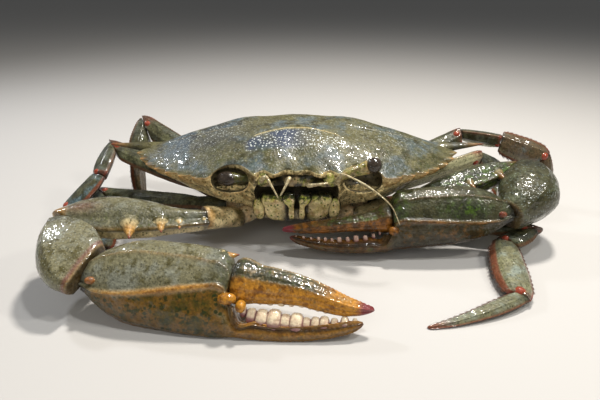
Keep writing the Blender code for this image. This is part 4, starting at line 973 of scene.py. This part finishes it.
# How high the moving finger's hinge and tip lie over the palm's line.
FINGER_LIFT = {-1: (5.4, 4.2), 1: (1.9, 2.4)}
ROOT_ROWS = (
    (-0.15, 4.0, 3.6), (0.0, 4.2, 3.6), (0.5, 4.5, 3.8), (1.0, 4.5, 3.8), (1.2, 3.2, 2.8),
)
ARM_ROWS = (
    (-0.08, 3.6, 3.4, 1.4), (0.0, 4.2, 3.8, 1.4), (0.2, 5.6, 4.4, 1.0), (0.45, 8.8, 5.0, -0.8),
    (0.7, 9.8, 5.0, -2.2), (0.9, 8.0, 4.6, -2.6), (1.0, 6.2, 4.0, -2.2), (1.12, 3.6, 2.8, -1.8),
)
ARM_WIDTH = {-1: 1.0, 1: 0.82}
ARM_EDGE_ANGLE = 38.0
# A claw's ridges have an angle, a height, or a depth below 0, and a spread.
ARM_RIDGES = ((ARM_EDGE_ANGLE, 1.6, 12.0), (100.0, 0.5, 16.0), (60.0, -0.35, 9.0))
WRIST_RIDGES = ((0, 0.5, 14.0), (60, 0.4, 8.0), (-60, 0.4, 8.0))
# Where the cream under face of the arm begins.
LOWER_ARM = {-1: 33.0, 1: -20.0}
# Place along the arm, length and radius of each spine on its front edge.
ARM_SPINES = {
    -1: ((0.01, 0.5, 1.0), (0.2, 1.6, 1.4), (0.335, 2.6, 2.2), (0.56, 5.2, 2.7)),
    1: ((0.34, 2.0, 1.4), (0.62, 3.2, 1.7), (0.88, 4.2, 1.9)),
}
# The place, length, lean, radius and flatness of the spine at the arm's heel.
HEEL_SHARE = 0.86
HEEL_SPINE = (11.5, 1.6, 2.6, 0.8)
WRIST_ROWS = {
    -1: (
        (-0.12, 4.2, 3.2, 1.0), (0.0, 6.2, 4.4, 1.4), (0.22, 8.8, 6.4, 1.9),
        (0.5, 10.2, 7.2, 2.5, -0.6), (0.8, 10.1, 5.7, 2.9, -1.8), (1.0, 8.6, 3.9, 3.1, -2.8),
        (1.22, 5.6, 2.8, 2.2, -2.4),
    ),
    1: (
        (-0.25, 5.4, 4.2, 7.2), (-0.06, 8.8, 6.2, 7.6), (0.3, 11.2, 9.0, 7.6), (0.65, 10.8, 9.6, 6.8),
        (0.95, 7.4, 6.8, 3.8), (1.12, 4.4, 4.4, 1.6),
    ),
}
PALM_ROWS = (
    (-0.05, 4.0, 3.8), (0.0, 5.2, 4.6), (0.05, 8.0, 6.0), (0.14, 11.3, 7.4, 0.3), (0.3, 12.8, 7.9, 0.6),
    (0.44, 12.9, 7.5, 0.6), (0.5, 12.3, 7.0, 0.3), (0.52, 11.2, 6.7, -0.6), (0.555, 4.7, 5.4, -6.7),
    (0.64, 3.2, 4.4, -7.7), (0.78, 2.6, 3.4, -6.5), (0.9, 2.0, 2.5, -3.9), (0.97, 1.4, 1.6, -1.6),
    (1.0, 0.7, 0.7, -0.5),
)
# The ridge of the palm's outer face climbs towards the fingers: its angle at the wrist, and its drift.
MID_RIDGE = {-1: (118.0, -82.0), 1: (112.0, -48.0)}
PALM_RIDGES = ((46, 0.45, 5.0), (150, 0.4, 5.0), (180, 0.5, 9.0), (0, 0.4, 8.0))
# The spine at the end of the palm's crest: place along, height, length along and up, and radius.
CREST_SPINE = (0.475, 11.4, 5.4, 1.9, 2.0)
# Half sizes of the room that is cut for the moving finger: along, across and up.
FINGER_ROOM = (7.0, 30.0, 15.0)
# Knobs where the moving finger is hinged: from the hinge along, up and outwards, and their radii.
HINGE_KNOBS = {
    -1: ((0.8, -4.8, 6.8, (2.9, 1.9, 1.8)), (5.2, -6.4, 5.6, (1.7, 2.4, 1.7))),
    1: ((0.6, -3.0, 5.6, (2.1, 1.7, 1.7)),),
}
# The soft skin that fills the hinge: its place from there, and its half sizes along, through and up.
SKIN_PLACE = (0.2, 0.8, 0.5)
HINGE_SKIN = {-1: (1.0, 3.3, 5.2), 1: (0.9, 2.8, 4.0)}
# The knob beside the wrist, placed in the same way from the palm's start.
WRIST_KNOB = {-1: (3.6, -1.2, 6.3), 1: (3.6, 1.1, 5.6)}
WRIST_KNOB_RADII = (1.6, 1.2, 1.2)
FINGER_ROWS = {
    -1: (
        (-0.04, 4.6, 3.8, -0.6), (0.0, 6.4, 5.0, 0.2), (0.2, 6.0, 4.6, 0.9), (0.5, 4.6, 3.8, 1.3),
        (0.66, 4.0, 3.2, 0.3), (0.82, 2.9, 2.4, -0.6), (0.94, 1.5, 1.4, -0.4), (1.0, 0.6, 0.5),
    ),
    1: (
        (-0.04, 3.6, 3.4, 0.9), (0.0, 5.2, 4.2, 1.3), (0.15, 4.4, 4.0, 0.9), (0.35, 3.2, 3.4, 0.5),
        (0.6, 2.6, 2.8, 0.2), (0.85, 1.8, 1.9, 0.2), (1.0, 0.6, 0.5, 0.3),
    ),
}
FINGER_RIDGES = ((12, 0.4, 7.0), (48, -0.15, 7.0), (82, 0.3, 7.0), (116, -0.3, 7.0))
# Place along the biting edge and radius of each blunt tooth.
BITING_TEETH = (
    (0.05, 1.0), (0.12, 1.5), (0.21, 2.0), (0.31, 2.3), (0.4, 1.7), (0.49, 2.1), (0.57, 1.3),
    (0.64, 1.4), (0.71, 1.5), (0.79, 1.1), (0.87, 1.2), (0.95, 0.7),
)
TOOTH_SCALE = {-1: 1.0, 1: 0.42}
# How large the moving finger's teeth are beside the fixed one's.
MOVING_TOOTH = 0.6
# Where each row of teeth begins and ends along its piece.
FIXED_ROW = (0.565, 0.99)
MOVING_ROW = (0.12, 0.9)
# A tooth's thickness, height and length in its own radii.
TOOTH_FORM = (1.35, 1.7, 1.14)
# How purple the teeth are all over.
TOOTH_STAIN = {-1: 0.0, 1: 0.6}
# How far below the hinge the room for the moving finger reaches.
STEP_DEPTH = {-1: 7.3, 1: 4.8}
CLAW_FINISH = {
    -1: wet_shell(
        "wet_claw_shell_right",
        "#757156",
        (
            ("#808274", 0.8, None, "lumps", 9.0, 0.46, 0.6),
            ("#4A4420", 0.85, None, "lumps", 3.2, 0.48, 0.64),
            ("#2E2E1B", 0.6, None, "dots", 0.8, 0.42, 0.25, 0.4),
            ("#9A9C8A", 0.6, "grain", "dots", 0.9, 0.36, 0.2, 0.6),
            ("#DECA98", 0.95, "under", "lumps", 6.0, 0.2, 0.5),
            ("#725012", 0.97, "tan", "lumps", 5.0, 0.2, 0.5),
            ("#4A400E", 0.9, "tan", "lumps", 5.5, 0.46, 0.6),
            ("#2C330C", 0.9, "tan", "lumps", 2.2, 0.52, 0.6),
            ("#2B3412", 0.9, "tan", "dots", 1.7, 0.46, 0.26, 0.35),
            ("#37421A", 0.8, "under", "dots", 1.1, 0.42, 0.28, 0.4),
            ("#BA8028", 1.0, "warm", "lumps", 2.2, 0.2, 0.5),
            ("#744410", 0.85, "warm", "lumps", 2.4, 0.48, 0.64),
            ("#242A18", 0.95, "stain", "lumps", 2.4, 0.3, 0.5),
            ("#4D5A20", 0.8, "stain", "lumps", 1.6, 0.56, 0.68),
            ("#7A2E38", 0.95, "tip"),
            ("#14130C", 0.97, "dark"),
        ),
        beads=(0.9, 0.5),
    ),
    1: wet_shell(
        "wet_claw_shell_left",
        "#44422A",
        (
            ("#535840", 0.8, None, "lumps", 8.0, 0.46, 0.6),
            ("#2A2A14", 0.85, None, "lumps", 3.4, 0.46, 0.64),
            ("#1D2017", 0.5, None, "dots", 0.8, 0.42, 0.25, 0.4),
            ("#7F8A84", 0.55, "grain", "dots", 1.0, 0.36, 0.2, 0.6),
            ("#A5966C", 0.9, "under", "lumps", 6.0, 0.2, 0.5),
            ("#342A0A", 0.95, "tan", "lumps", 4.0, 0.25, 0.55),
            ("#704A10", 0.8, "tan", "lumps", 3.0, 0.5, 0.66),
            ("#2B3418", 0.8, "under", "dots", 1.1, 0.42, 0.28, 0.4),
            ("#865418", 1.0, "warm", "lumps", 2.2, 0.2, 0.5),
            ("#3A240C", 0.9, "warm", "lumps", 2.6, 0.42, 0.6),
            ("#1F2616", 0.95, "stain", "lumps", 2.4, 0.3, 0.5),
            ("#4A641A", 0.85, "stain", "lumps", 2.2, 0.48, 0.62),
            ("#7A2E38", 0.95, "tip"),
            ("#14130C", 0.97, "dark"),
        ),
        beads=(0.9, 0.5),
        ripple=(1.7, 0.6),
    ),
}
TOOTH_FINISH = wet_shell(
    "worn_ivory_tooth",
    "#DCCBAC",
    (
        ("#B08A74", 0.6, None, "lumps", 1.6, 0.45, 0.65),
        ("#70384A", 0.85, "tip"),
    ),
    gloss=(0.15, 0.3),
    grit=0.9,
)


def draw_spike(name, base, tip, radius, flatness=1.0):
    """A sharp spine, cream at its foot, then orange, with a red point."""
    across = np.cross(unit(np.array(tip) - base), (0.0, 0.0, 1.0))
    shares = ((-0.1, 1.55), (0.12, 1.3), (0.35, 0.85), (0.6, 0.5), (0.82, 0.25), (1.0, 0.07))
    rows = [(place, radius * share, radius * share * flatness) for place, share in shares]
    spike, places, place, _ = draw_limb(name, base, tip, across, rows, 24, 30, rough=0.04)
    return close_form(
        spike,
        places,
        under=0.8 * step(0.05, 0.2, place),
        warm=0.75 * step(0.15, 0.55, place),
        tip=0.9 * step(0.72, 0.95, place),
    )


def draw_knob(name, centre, radii, **marks):
    """A small rounded knob that stays above the floor."""
    knob, places, _, _ = draw_ball(name, centre, radii, 24, 16)
    places[:, 2] = np.maximum(places[:, 2], FLOOR_GAP)
    return close_form(knob, places, **marks)


def ridges_on(side, table):
    """Ridges whose angles are given towards the outer face, turned for the claw of one side."""
    return [(-side * at, height, spread, 0) for at, height, spread in table]


def row_at(rows, place):
    """Half breadth, half thickness and shift along the broad axis at a place along a limb piece."""
    table = full_rows(rows)
    return [float(np.interp(place, table[:, 0], table[:, column])) for column in (1, 2, 3)]


def palm_rows(side):
    """The palm's rows for one side, with its fixed finger made larger or smaller and shifted."""
    size, shift = FIXED_FINGER_FORM[side]
    rows = []
    for place, half, thick, to_broad, to_flat in full_rows(PALM_ROWS):
        if place < PALM_SHARE:
            tall, rise = half * PALM_SCALE[side], PALM_RISE[side]
            rows.append((place, tall, thick * PALM_THICKNESS[side], to_broad + rise, to_flat))
        else:
            rows.append((place, half * size, thick * size, to_broad + shift * (1 - place) * 3, to_flat))
    return rows


def tooth_row(name, line, rows, scale, span, towards, sink, aside, stained):
    """Blunt teeth along the edge of a finger, each a worn block sunk in it and set aside from the middle."""
    origin, length, axis, broad, flat = frame_of(*line)
    basis = np.array((flat, broad, axis))
    row = []
    for place, radius in BITING_TEETH:
        s = span[0] + (span[1] - span[0]) * place
        half, thick, shift = row_at(rows, s)
        radius = radius * scale
        centre = origin + axis * length * s + broad * (shift + towards * (half - radius * sink))
        centre = centre + flat * thick * aside
        radii = np.array(TOOTH_FORM) * radius
        block, places, _, _ = draw_ball(name, (0, 0, 0), radii, 28, 20, 2.8)
        low = step(0.2, -0.6, places[:, 1] * towards / radius)
        between = step(0.6, 0.85, np.abs(places[:, 2]) / radii[2])
        purple = np.maximum(np.maximum(low, between), stained)
        close_form(block, centre + places @ basis, tip=purple)
        row.append(block)
    bpy.ops.object.select_all(action="DESELECT")
    for block in row:
        block.select_set(True)
    bpy.context.view_layer.objects.active = row[0]
    bpy.ops.object.join()
    row[0].name = name
    return row[0]


for side, word in SIDES:
    finish = CLAW_FINISH[side]
    elbow, wrist_top, wrist, tip = CLAW_JOINTS[side]
    points = [inner_end("cheliped", side), root_of("cheliped", side), elbow, wrist_top, wrist, tip]
    points = [np.array(point, float) for point in points]
    broad = ARM_BROAD[side]

    # The root, cream under worn brown.
    near, far = stops_of(points, 1)
    name = f"claw_{word}_root"
    root, places, place, _ = draw_limb(name, *points[1:3], broad, ROOT_ROWS, 48, 40, near=near, far=far)
    worn = 0.6 * step(-0.2, 0.4, lumps(places, 5.0, 3.0))
    shade = 0.7 * step(0.2, 0.0, place) + 0.6 * step(0.97, 1.04, place)
    close_form(root, places, under=1.0, tan=worn, warm=0.4 * step(0.8, 1.0, place), dark=shade)
    fit(root, f"cheliped_{word}_ischium", finish)

    # The arm, with spines along its front edge and one at its heel.
    near, far = stops_of(points, 2)
    arm_rows = full_rows(ARM_ROWS, ARM_WIDTH[side])
    ridges = ridges_on(side, ARM_RIDGES)
    name = f"claw_{word}_arm"
    arm_line = (*points[2:4], broad)
    arm, places, place, angle = draw_limb(name, *arm_line, arm_rows, 120, 120, 1.8, ridges, near, far)
    out = -side * angle
    begins = LOWER_ARM[side]
    lower = step(begins, begins - 8.0, out) * step(-175.0, -150.0, out)
    close_form(
        arm,
        places,
        under=lower,
        warm=0.3 * bump_at(ARM_EDGE_ANGLE, 5.0, out) + 0.5 * step(0.98, 1.04, place),
        stain=(0.6 if side < 0 else 0.9) * bump_at(58.0, 40.0, out),
        tip=0.3 * (side < 0) * bump_at(0.9, 0.12, place) * bump_at(100.0, 22.0, out),
        tan=0.3 * lower * step(0.3, -0.1, lumps(places, 9.0, 4.0)),
        dark=0.7 * step(0.04, 0.0, place),
        grain=step(60.0, 90.0, out),
    )
    origin, length, axis, forward, flat = frame_of(*arm_line)
    upward = -side * flat
    spikes = []
    for place, reach, radius in ARM_SPINES[side]:
        half, thick, shift = row_at(arm_rows, place)
        tilt = math.radians(ARM_EDGE_ANGLE)
        brow = forward * (half * math.cos(tilt) + shift) + upward * thick * math.sin(tilt)
        base = origin + axis * length * place + brow
        outward = unit(forward + upward * 0.15)
        spikes.append(draw_spike("arm_spine", base - outward * 1.8, base + outward * (reach + 1.0), radius))
    half, _, shift = row_at(arm_rows, HEEL_SHARE)
    heel = origin + axis * length * HEEL_SHARE + forward * (shift - half * 0.5)
    reach, lean, radius, flatness = HEEL_SPINE
    point = heel + axis * reach + forward * lean
    spikes.append(draw_spike("heel_spine", heel, point, radius, flatness))
    weld(arm, spikes)
    fit(arm, f"cheliped_{word}_merus", finish)

    # The wrist, a swollen block with a raised rim round the palm's joint.
    near, far = stops_of(points, 3, far_normal=WRIST_CUT[side])
    name = f"claw_{word}_wrist"
    line = (*points[3:5], WRIST_OUT[side])
    form = (WRIST_ROWS[side], 120, 110, WRIST_SQUARE[side], ridges_on(side, WRIST_RIDGES))
    wrist_piece, places, place, _ = draw_limb(name, *line, *form, near, far, 0.16)
    to_palm = (places - points[4]) @ unit(WRIST_CUT[side])
    rim = step(-1.6, -0.5, to_palm)
    low = step(7.0, 3.0, places[:, 2])
    close_form(
        wrist_piece,
        places,
        tan=0.6 * low,
        warm=0.25 * rim,
        tip=0.5 * (side < 0) * bump_at(-1.5, 0.7, to_palm) * step(6.0, 12.0, places[:, 2]),
        dark=0.7 * step(-0.8, -0.1, to_palm) + 0.5 * step(0.05, 0.0, place),
        grain=1.0,
    )
    fit(wrist_piece, f"cheliped_{word}_carpus", finish)

    # The palm with its fixed finger, the room for the moving finger cut out of it, and its spine and knobs.
    near, far = stops_of(points, 4, near_normal=WRIST_CUT[side])
    palm_line = (*points[4:6], PALM_UP[side])
    rows = palm_rows(side)
    ridge_start, ridge_drift = MID_RIDGE[side]
    ridges = ridges_on(side, PALM_RIDGES)
    ridges.append((-side * ridge_start, 1.1, 3.6, -side * ridge_drift))
    name = f"claw_{word}_palm"
    palm, places, place, angle = draw_limb(name, *palm_line, rows, 160, 190, 2.1, ridges, near, far, 0.14)
    out = half_turn(-side * angle)
    off_ridge = out - ridge_start - ridge_drift * place
    on_finger = step(0.52, 0.6, place)
    lower = step(0.0, 9.0, off_ridge) + step(-70.0, -110.0, out)
    on_ridge = bump_at(0.5, 3.0, off_ridge) * step(0.02, 0.1, place) * step(0.54, 0.5, place)
    low_orange = 0.8 * step(160.0, 176.0, np.abs(out))
    close_form(
        palm,
        places,
        tan=np.clip(lower, 0, 1) * (1 - 0.6 * on_finger),
        under=0.35 * on_ridge,
        warm=np.clip(0.9 * on_ridge + 0.15 * bump_at(46.0, 3.0, out) + low_orange + 0.75 * on_finger, 0, 1),
        stain=np.clip(
            0.6 * bump_at(0.5, 0.05, place) * step(6.0, -2.0, off_ridge)
            + 0.5 * on_finger * bump_at(120.0, 30.0, out)
            + 0.9 * (side > 0) * bump_at(0.2, 0.09, place) * bump_at(75.0, 22.0, out),
            0,
            1,
        ),
        tip=(0.25 if side < 0 else 1.0) * step(0.97, 1.0, place),
        dark=0.6 * step(0.03, 0.0, place)
        + 0.4 * bump_at(-6.0, 2.0, off_ridge) * (1 - on_finger)
        + 0.85 * on_finger * bump_at(72.0, 20.0, out)
        # painted shade over the lower side of the palm and fixed finger, which faces the floor
        + 0.5 * step(105.0, 160.0, np.abs(out)),
        grain=0.3 * step(0.0, -9.0, off_ridge),
    )
    origin, length, axis, height, flat = frame_of(*palm_line)
    outer = -side * flat
    basis = np.array((axis, -flat, height))
    low, high = FINGER_LIFT[side]
    hinge = origin + axis * length * PALM_SHARE + height * low
    seat = hinge - axis * 0.4
    along, across, rise = FINGER_ROOM
    deeper = STEP_DEPTH[side] / 2
    cutter, places, _, _ = draw_ball("finger_room", (0, 0, 0), (along, across, rise + deeper), 64, 40, 9.0)
    middle = seat + axis * along + height * (rise - deeper)
    # The cut face of the room is orange with painted shade, for the gap where the moving finger sits.
    close_form(cutter, middle + places @ basis, warm=0.6, dark=0.6)
    weld(palm, [cutter], "DIFFERENCE")
    crest_share, rise, forth, lift, radius = CREST_SPINE
    crest = origin + axis * length * crest_share + height * (rise * PALM_SCALE[side])
    knobs = [draw_spike("crest_spine", crest, crest + axis * forth + height * lift, radius)]
    ways = np.array((axis, height, outer))
    for *spot, radii in HINGE_KNOBS[side]:
        knobs.append(draw_knob("hinge_knob", seat + np.array(spot) @ ways, radii, warm=1.0, tan=1.0))
    at = origin + np.array(WRIST_KNOB[side]) @ ways
    knobs.append(draw_knob("wrist_knob", at, WRIST_KNOB_RADII, warm=0.9, tip=0.45, dark=0.2))
    weld(palm, knobs)
    fit(palm, f"cheliped_{word}_palm", finish)
    # The skin is marked nearly black: painted shade in the gap of the hinge.
    membrane, places, _, _ = draw_ball(f"hinge_skin_{word}", (0, 0, 0), HINGE_SKIN[side], 40, 28, 2.6)
    at = seat + np.array(SKIN_PLACE) @ ways
    close_form(membrane, at + places @ basis, under=0.3, dark=0.95)
    fit(membrane, f"cheliped_{word}_palm", finish)
    scale, stained = TOOTH_SCALE[side], TOOTH_STAIN[side]
    bite = (scale, FIXED_ROW, 1.0, 0.0, -side * 0.2, stained)
    teeth = tooth_row(f"fixed_teeth_{word}", palm_line, rows, *bite)
    fit(teeth, f"cheliped_{word}_palm", TOOTH_FINISH)

    # The moving finger, olive on its upper face.
    finger_tip = origin + axis * length * 1.03 + height * high
    rows = FINGER_ROWS[side]
    name = f"claw_{word}_finger"
    near = (seat + axis * 0.15, -axis)
    finger_line = (hinge, finger_tip, height)
    finger, places, place, angle = draw_limb(
        name, *finger_line, rows, 120, 130, 2.1, ridges_on(side, FINGER_RIDGES), near
    )
    out = half_turn(-side * angle)
    inner_part = step(0.8, 0.5, place)
    upper_face = step(58.0, 36.0, np.abs(out - 34.0)) * inner_part * (1 - bump_at(14.0, 6.0, out))
    close_form(
        finger,
        places,
        warm=np.clip(1.2 - step(62.0, 40.0, np.abs(out - 30.0)) * inner_part, 0, 1),
        stain=(0.95 if side < 0 else 0.6) * upper_face,
        tip=step(0.86, 0.93, place),
        dark=0.6 * step(0.05, 0.0, place),
    )
    fit(finger, f"cheliped_{word}_finger", finish)
    bite = (MOVING_TOOTH * scale, MOVING_ROW, -1.0, 1.5, 0.0, stained)
    teeth = tooth_row(f"moving_teeth_{word}", finger_line, rows, *bite)
    fit(teeth, f"cheliped_{word}_finger", TOOTH_FINISH)

# Walking legs and swimming legs. Flat hollow segments on hinge joints, olive and blue-green, with red-brown
# edges that carry a fringe of stiff bristles, and a red knob on each side of every joint. The last pair ends
# in round paddles. The rows of a segment are under its name, in order from the body outwards.
LEG_ROWS = {
    "merus": (
        (-0.06, 3.4, 3.0), (0.0, 3.8, 3.2), (0.16, 3.9, 3.0), (0.21, 3.4, 2.6), (0.3, 4.1, 2.9),
        (0.6, 4.9, 3.0, 0.2), (0.88, 4.4, 2.8, 0.2), (1.0, 3.8, 2.7), (1.08, 2.2, 1.8),
    ),
    "carpus": (
        (-0.14, 2.0, 1.6), (0.0, 3.0, 2.2), (0.4, 4.6, 2.9, 0.6), (0.85, 4.4, 2.8, 0.3),
        (1.0, 3.7, 2.5), (1.12, 2.0, 1.6),
    ),
    "propodus": (
        (-0.12, 2.4, 1.4), (0.0, 4.4, 2.0), (0.12, 5.2, 2.4, 0.3), (0.3, 5.6, 2.5, 0.5),
        (0.7, 5.7, 2.4, 0.5), (0.95, 4.2, 2.1), (1.0, 3.6, 2.0), (1.1, 1.9, 1.4),
    ),
    "dactyl": (
        (-0.1, 1.6, 1.2), (0.0, 2.6, 1.7), (0.2, 3.0, 1.9, -0.7), (0.55, 2.2, 1.4, -1.3),
        (0.85, 1.1, 0.8, -0.8), (1.0, 0.45, 0.4),
    ),
}
SWIMMER_ROWS = {
    "merus": (
        (-0.1, 3.2, 3.0), (0.0, 3.8, 3.2), (0.3, 5.6, 3.2), (0.75, 6.2, 3.0), (1.0, 4.0, 2.6),
        (1.15, 2.4, 1.8),
    ),
    "carpus": (
        (-0.15, 2.2, 1.8), (0.0, 3.2, 2.2), (0.5, 4.9, 2.6), (1.0, 3.8, 2.2), (1.15, 2.2, 1.6),
    ),
    "propodus": (
        (-0.12, 2.4, 1.4), (0.0, 3.4, 1.8), (0.45, 6.2, 1.9), (0.8, 6.0, 1.6), (1.0, 4.2, 1.3),
        (1.1, 2.4, 1.0),
    ),
    "paddle": (
        (-0.06, 2.0, 0.8), (0.0, 3.2, 1.0), (0.3, 7.4, 1.1), (0.6, 8.4, 1.0), (0.85, 6.2, 0.8),
        (0.97, 2.8, 0.6), (1.0, 1.0, 0.45),
    ),
}
LEG_SQUARE = 1.75
LEG_RIDGE = 0.3
RIDGE_ANGLES = (0, 62, 118, 180, -118, -62)
RING_STEP = 0.5
# The red knobs at the outer end of each segment, and how far they stand out of its faces.
KNOB_RADIUS = {"merus": 1.6, "carpus": 1.3, "propodus": 2.0}
KNOB_RISE = 0.75
KNOB_SHARE = 0.95
# The stiff hairs along the edges of the outer segments stand in tufts and lean outwards, short on one edge.
HAIR_LENGTH = 2.2
OUTER_HAIR_LENGTH = 0.9
HAIR_RADIUS = 0.11
HAIR_SPACING = 0.26
HAIR_LEAN = 0.8
TUFT_SPACING = 2.4
# The segments with hairs, and how long these are beside the longest.
HAIRY = {"propodus": 1.0, "dactyl": 0.5, "paddle": 0.55}
# How pale a segment is that shows its inner face.
PALE_SEGMENTS = {("leg2", 1, "merus"): 1.0, ("leg1", 1, "propodus"): 0.25, ("leg1", 1, "dactyl"): 0.2}
# Half width in degrees of the worn red-brown band along a segment's inner edge, where it isn't the usual one.
USUAL_BAND = 24.0
BANDS = {("leg1", 1, "propodus"): 41.0}
# How broad the legs of each side are beside the rows.
LEG_WIDTH = {-1: 1.08, 1: 1.0}
# How blue each segment is.
SEGMENT_BLUE = {"merus": 0.15, "carpus": 0.2, "propodus": 0.8, "dactyl": 0.5, "paddle": 0.9}
LEG_FINISH = wet_shell(
    "wet_leg_shell",
    "#4A4830",
    (
        ("#66808A", 0.85, "slate", "lumps", 7.0, 0.44, 0.6),
        ("#66684A", 0.7, None, "lumps", 5.0, 0.46, 0.64),
        ("#2A2A16", 0.85, None, "lumps", 3.0, 0.46, 0.64),
        ("#C2BF94", 0.92, "under"),
        ("#5C4730", 0.9, "tan", "lumps", 4.0, 0.2, 0.5),
        ("#252D18", 0.7, None, "dots", 0.9, 0.42, 0.28, 0.4),
        ("#74402C", 1.0, "warm", "lumps", 2.0, 0.2, 0.5),
        ("#94402A", 1.0, "tip", "lumps", 1.5, 0.1, 0.4),
        ("#14130C", 0.97, "dark"),
    ),
)


def bend_axis(before, at, after):
    """The hinge axis of a piece that bends in the plane of three joints."""
    hinge = np.cross(unit(np.array(at) - before), unit(np.array(after) - at))
    if np.linalg.norm(hinge) < 0.15:
        hinge = np.cross(unit(np.array(at) - before), (0.0, 0.0, 1.0))
    return unit(hinge)


def fringe(name, start, end, broad, rows, longest):
    """Stiff hairs in small tufts along both edges of a flat segment, leaning towards its end."""
    origin, length, axis, broad, flat = frame_of(start, end, broad)
    along = np.arange(0.06 * length, 0.93 * length, HAIR_SPACING)
    table = read_rows(rows, along / length)
    roots, ways, lengths = [], [], []
    for edge_side in (-1, 1):
        reach = table[:, 3] + edge_side * (table[:, 1] + LEG_RIDGE * 0.5)
        roots.append(origin + axis * along[:, None] + broad * reach[:, None])
        ways.append(np.tile(unit(broad * edge_side + axis * HAIR_LEAN), (len(along), 1)))
        most = HAIR_LENGTH if edge_side > 0 else OUTER_HAIR_LENGTH
        lengths.append(longest * most * (0.3 + 0.7 * np.abs(np.sin(along / TUFT_SPACING * math.pi))))
    roots, ways, lengths = np.vstack(roots), np.vstack(ways), np.concatenate(lengths)
    keep = roots[:, 2] > 0.6
    roots, ways, lengths = roots[keep], ways[keep], lengths[keep]

    bpy.ops.object.select_all(action="DESELECT")
    bpy.ops.mesh.primitive_cone_add(vertices=4, radius1=1.0, radius2=0.0, depth=1.0)
    hairs = bpy.context.object
    hairs.name = name
    hairs.data.name = name
    one = raw_points(hairs)
    copies = hairs.modifiers.new("copies", "ARRAY")
    copies.count = len(roots)
    bpy.ops.object.modifier_apply(modifier=copies.name)
    step_out = np.tile(one[:, 2] + 0.5, len(roots))
    around = np.tile(one[:, :2], (len(roots), 1)) * HAIR_RADIUS
    which = np.repeat(np.arange(len(roots)), len(one))
    across = np.cross(ways, flat)
    places = roots[which] + ways[which] * (step_out * lengths[which])[:, None]
    places += across[which] * around[:, :1] + flat * around[:, 1:]
    places[:, 2] = np.maximum(places[:, 2], FLOOR_GAP)
    move_points(hairs, places)
    hairs.data.update()
    return hairs


HAIR_FINISH, tree, shader = fresh_material("stiff_brown_hair")
shader.inputs["Base Color"].default_value = linear("#54321E")
shader.inputs["Roughness"].default_value = 0.5
for (limb, side), joints in LEG_JOINTS.items():
    word = "left" if side > 0 else "right"
    points = [np.array(p, float) for p in (inner_end(limb, side), root_of(limb, side), *joints)]
    swims = limb == "swimmer"
    rows_of = SWIMMER_ROWS if swims else LEG_ROWS
    for k, part in enumerate(rows_of, start=1):
        start, end = points[k], points[k + 1]
        beyond = points[k + 2] if k + 2 < len(points) else end + (end - start)
        hinge = bend_axis(start, end, beyond) if k < 4 else bend_axis(points[k - 1], start, end)
        axis = unit(end - start)
        broad = np.cross(axis, (0.0, 0.0, 1.0)) if swims else np.cross(hinge, axis)
        near, far = stops_of(points, k)
        rows = full_rows(rows_of[part], LEG_WIDTH[side])
        name = f"{limb}_{word}_{part}_shell"
        ridges = [(at, LEG_RIDGE, 8.0, 0) for at in RIDGE_ANGLES]
        rings = max(60, int(np.linalg.norm(end - start) / RING_STEP))
        shell, places, place, angle = draw_limb(
            name, start, end, broad, rows, 72, rings, LEG_SQUARE, ridges, near, far, 0.06
        )
        band = BANDS.get((limb, side, part), USUAL_BAND)
        turned = np.abs(angle)
        edge = np.maximum(step(band + 5.0, band - 5.0, turned), bump_at(180.0, 18.0, turned))
        ends = step(0.9, 1.0, place) if k < 4 else 0.0
        away = places - start - np.outer((places - start) @ axis, axis)
        away /= np.linalg.norm(away, axis=1)[:, None] + 0.01
        pale = PALE_SEGMENTS.get((limb, side, part), 0.0)
        if part == "merus":
            pale = pale * step(0.0, 0.5, -away[:, 1])
        close_form(
            shell,
            places,
            slate=(1 - edge) * (1 - 0.6 * pale) * SEGMENT_BLUE[part],
            under=np.maximum(pale, 0.8 * step(0.5, 0.9, -away[:, 2])),
            tan=0.8 * (limb == "leg3" and part in HAIRY),
            warm=edge * (0.9 if part in HAIRY else 0.45) + (step(0.7, 1.0, place) if k == 4 else 0.0),
            tip=0.9 * ends * (0.35 + 0.65 * edge),
            dark=0.5 * step(0.04, 0.0, place) + 0.5 * step(0.97, 1.0, place) * (k < 4),
        )
        if k < 4:
            _, thick, _ = row_at(rows_of[part], 0.94)
            flat = np.cross(axis, unit(broad - broad.dot(axis) * axis))
            at = start + (end - start) * KNOB_SHARE
            radius = KNOB_RADIUS[part]
            out_by = flat * (thick + KNOB_RISE - radius)
            knobs = [draw_knob("joint_knob", at + out_by * way, (radius,) * 3, tip=1.0) for way in (-1, 1)]
            weld(shell, knobs)
        fit(shell, f"{limb}_{word}_{part}", LEG_FINISH)
        if part in HAIRY:
            hairs = fringe(f"{limb}_{word}_{part}_hairs", start, end, broad, rows, HAIRY[part])
            fit(hairs, f"{limb}_{word}_{part}", HAIR_FINISH)
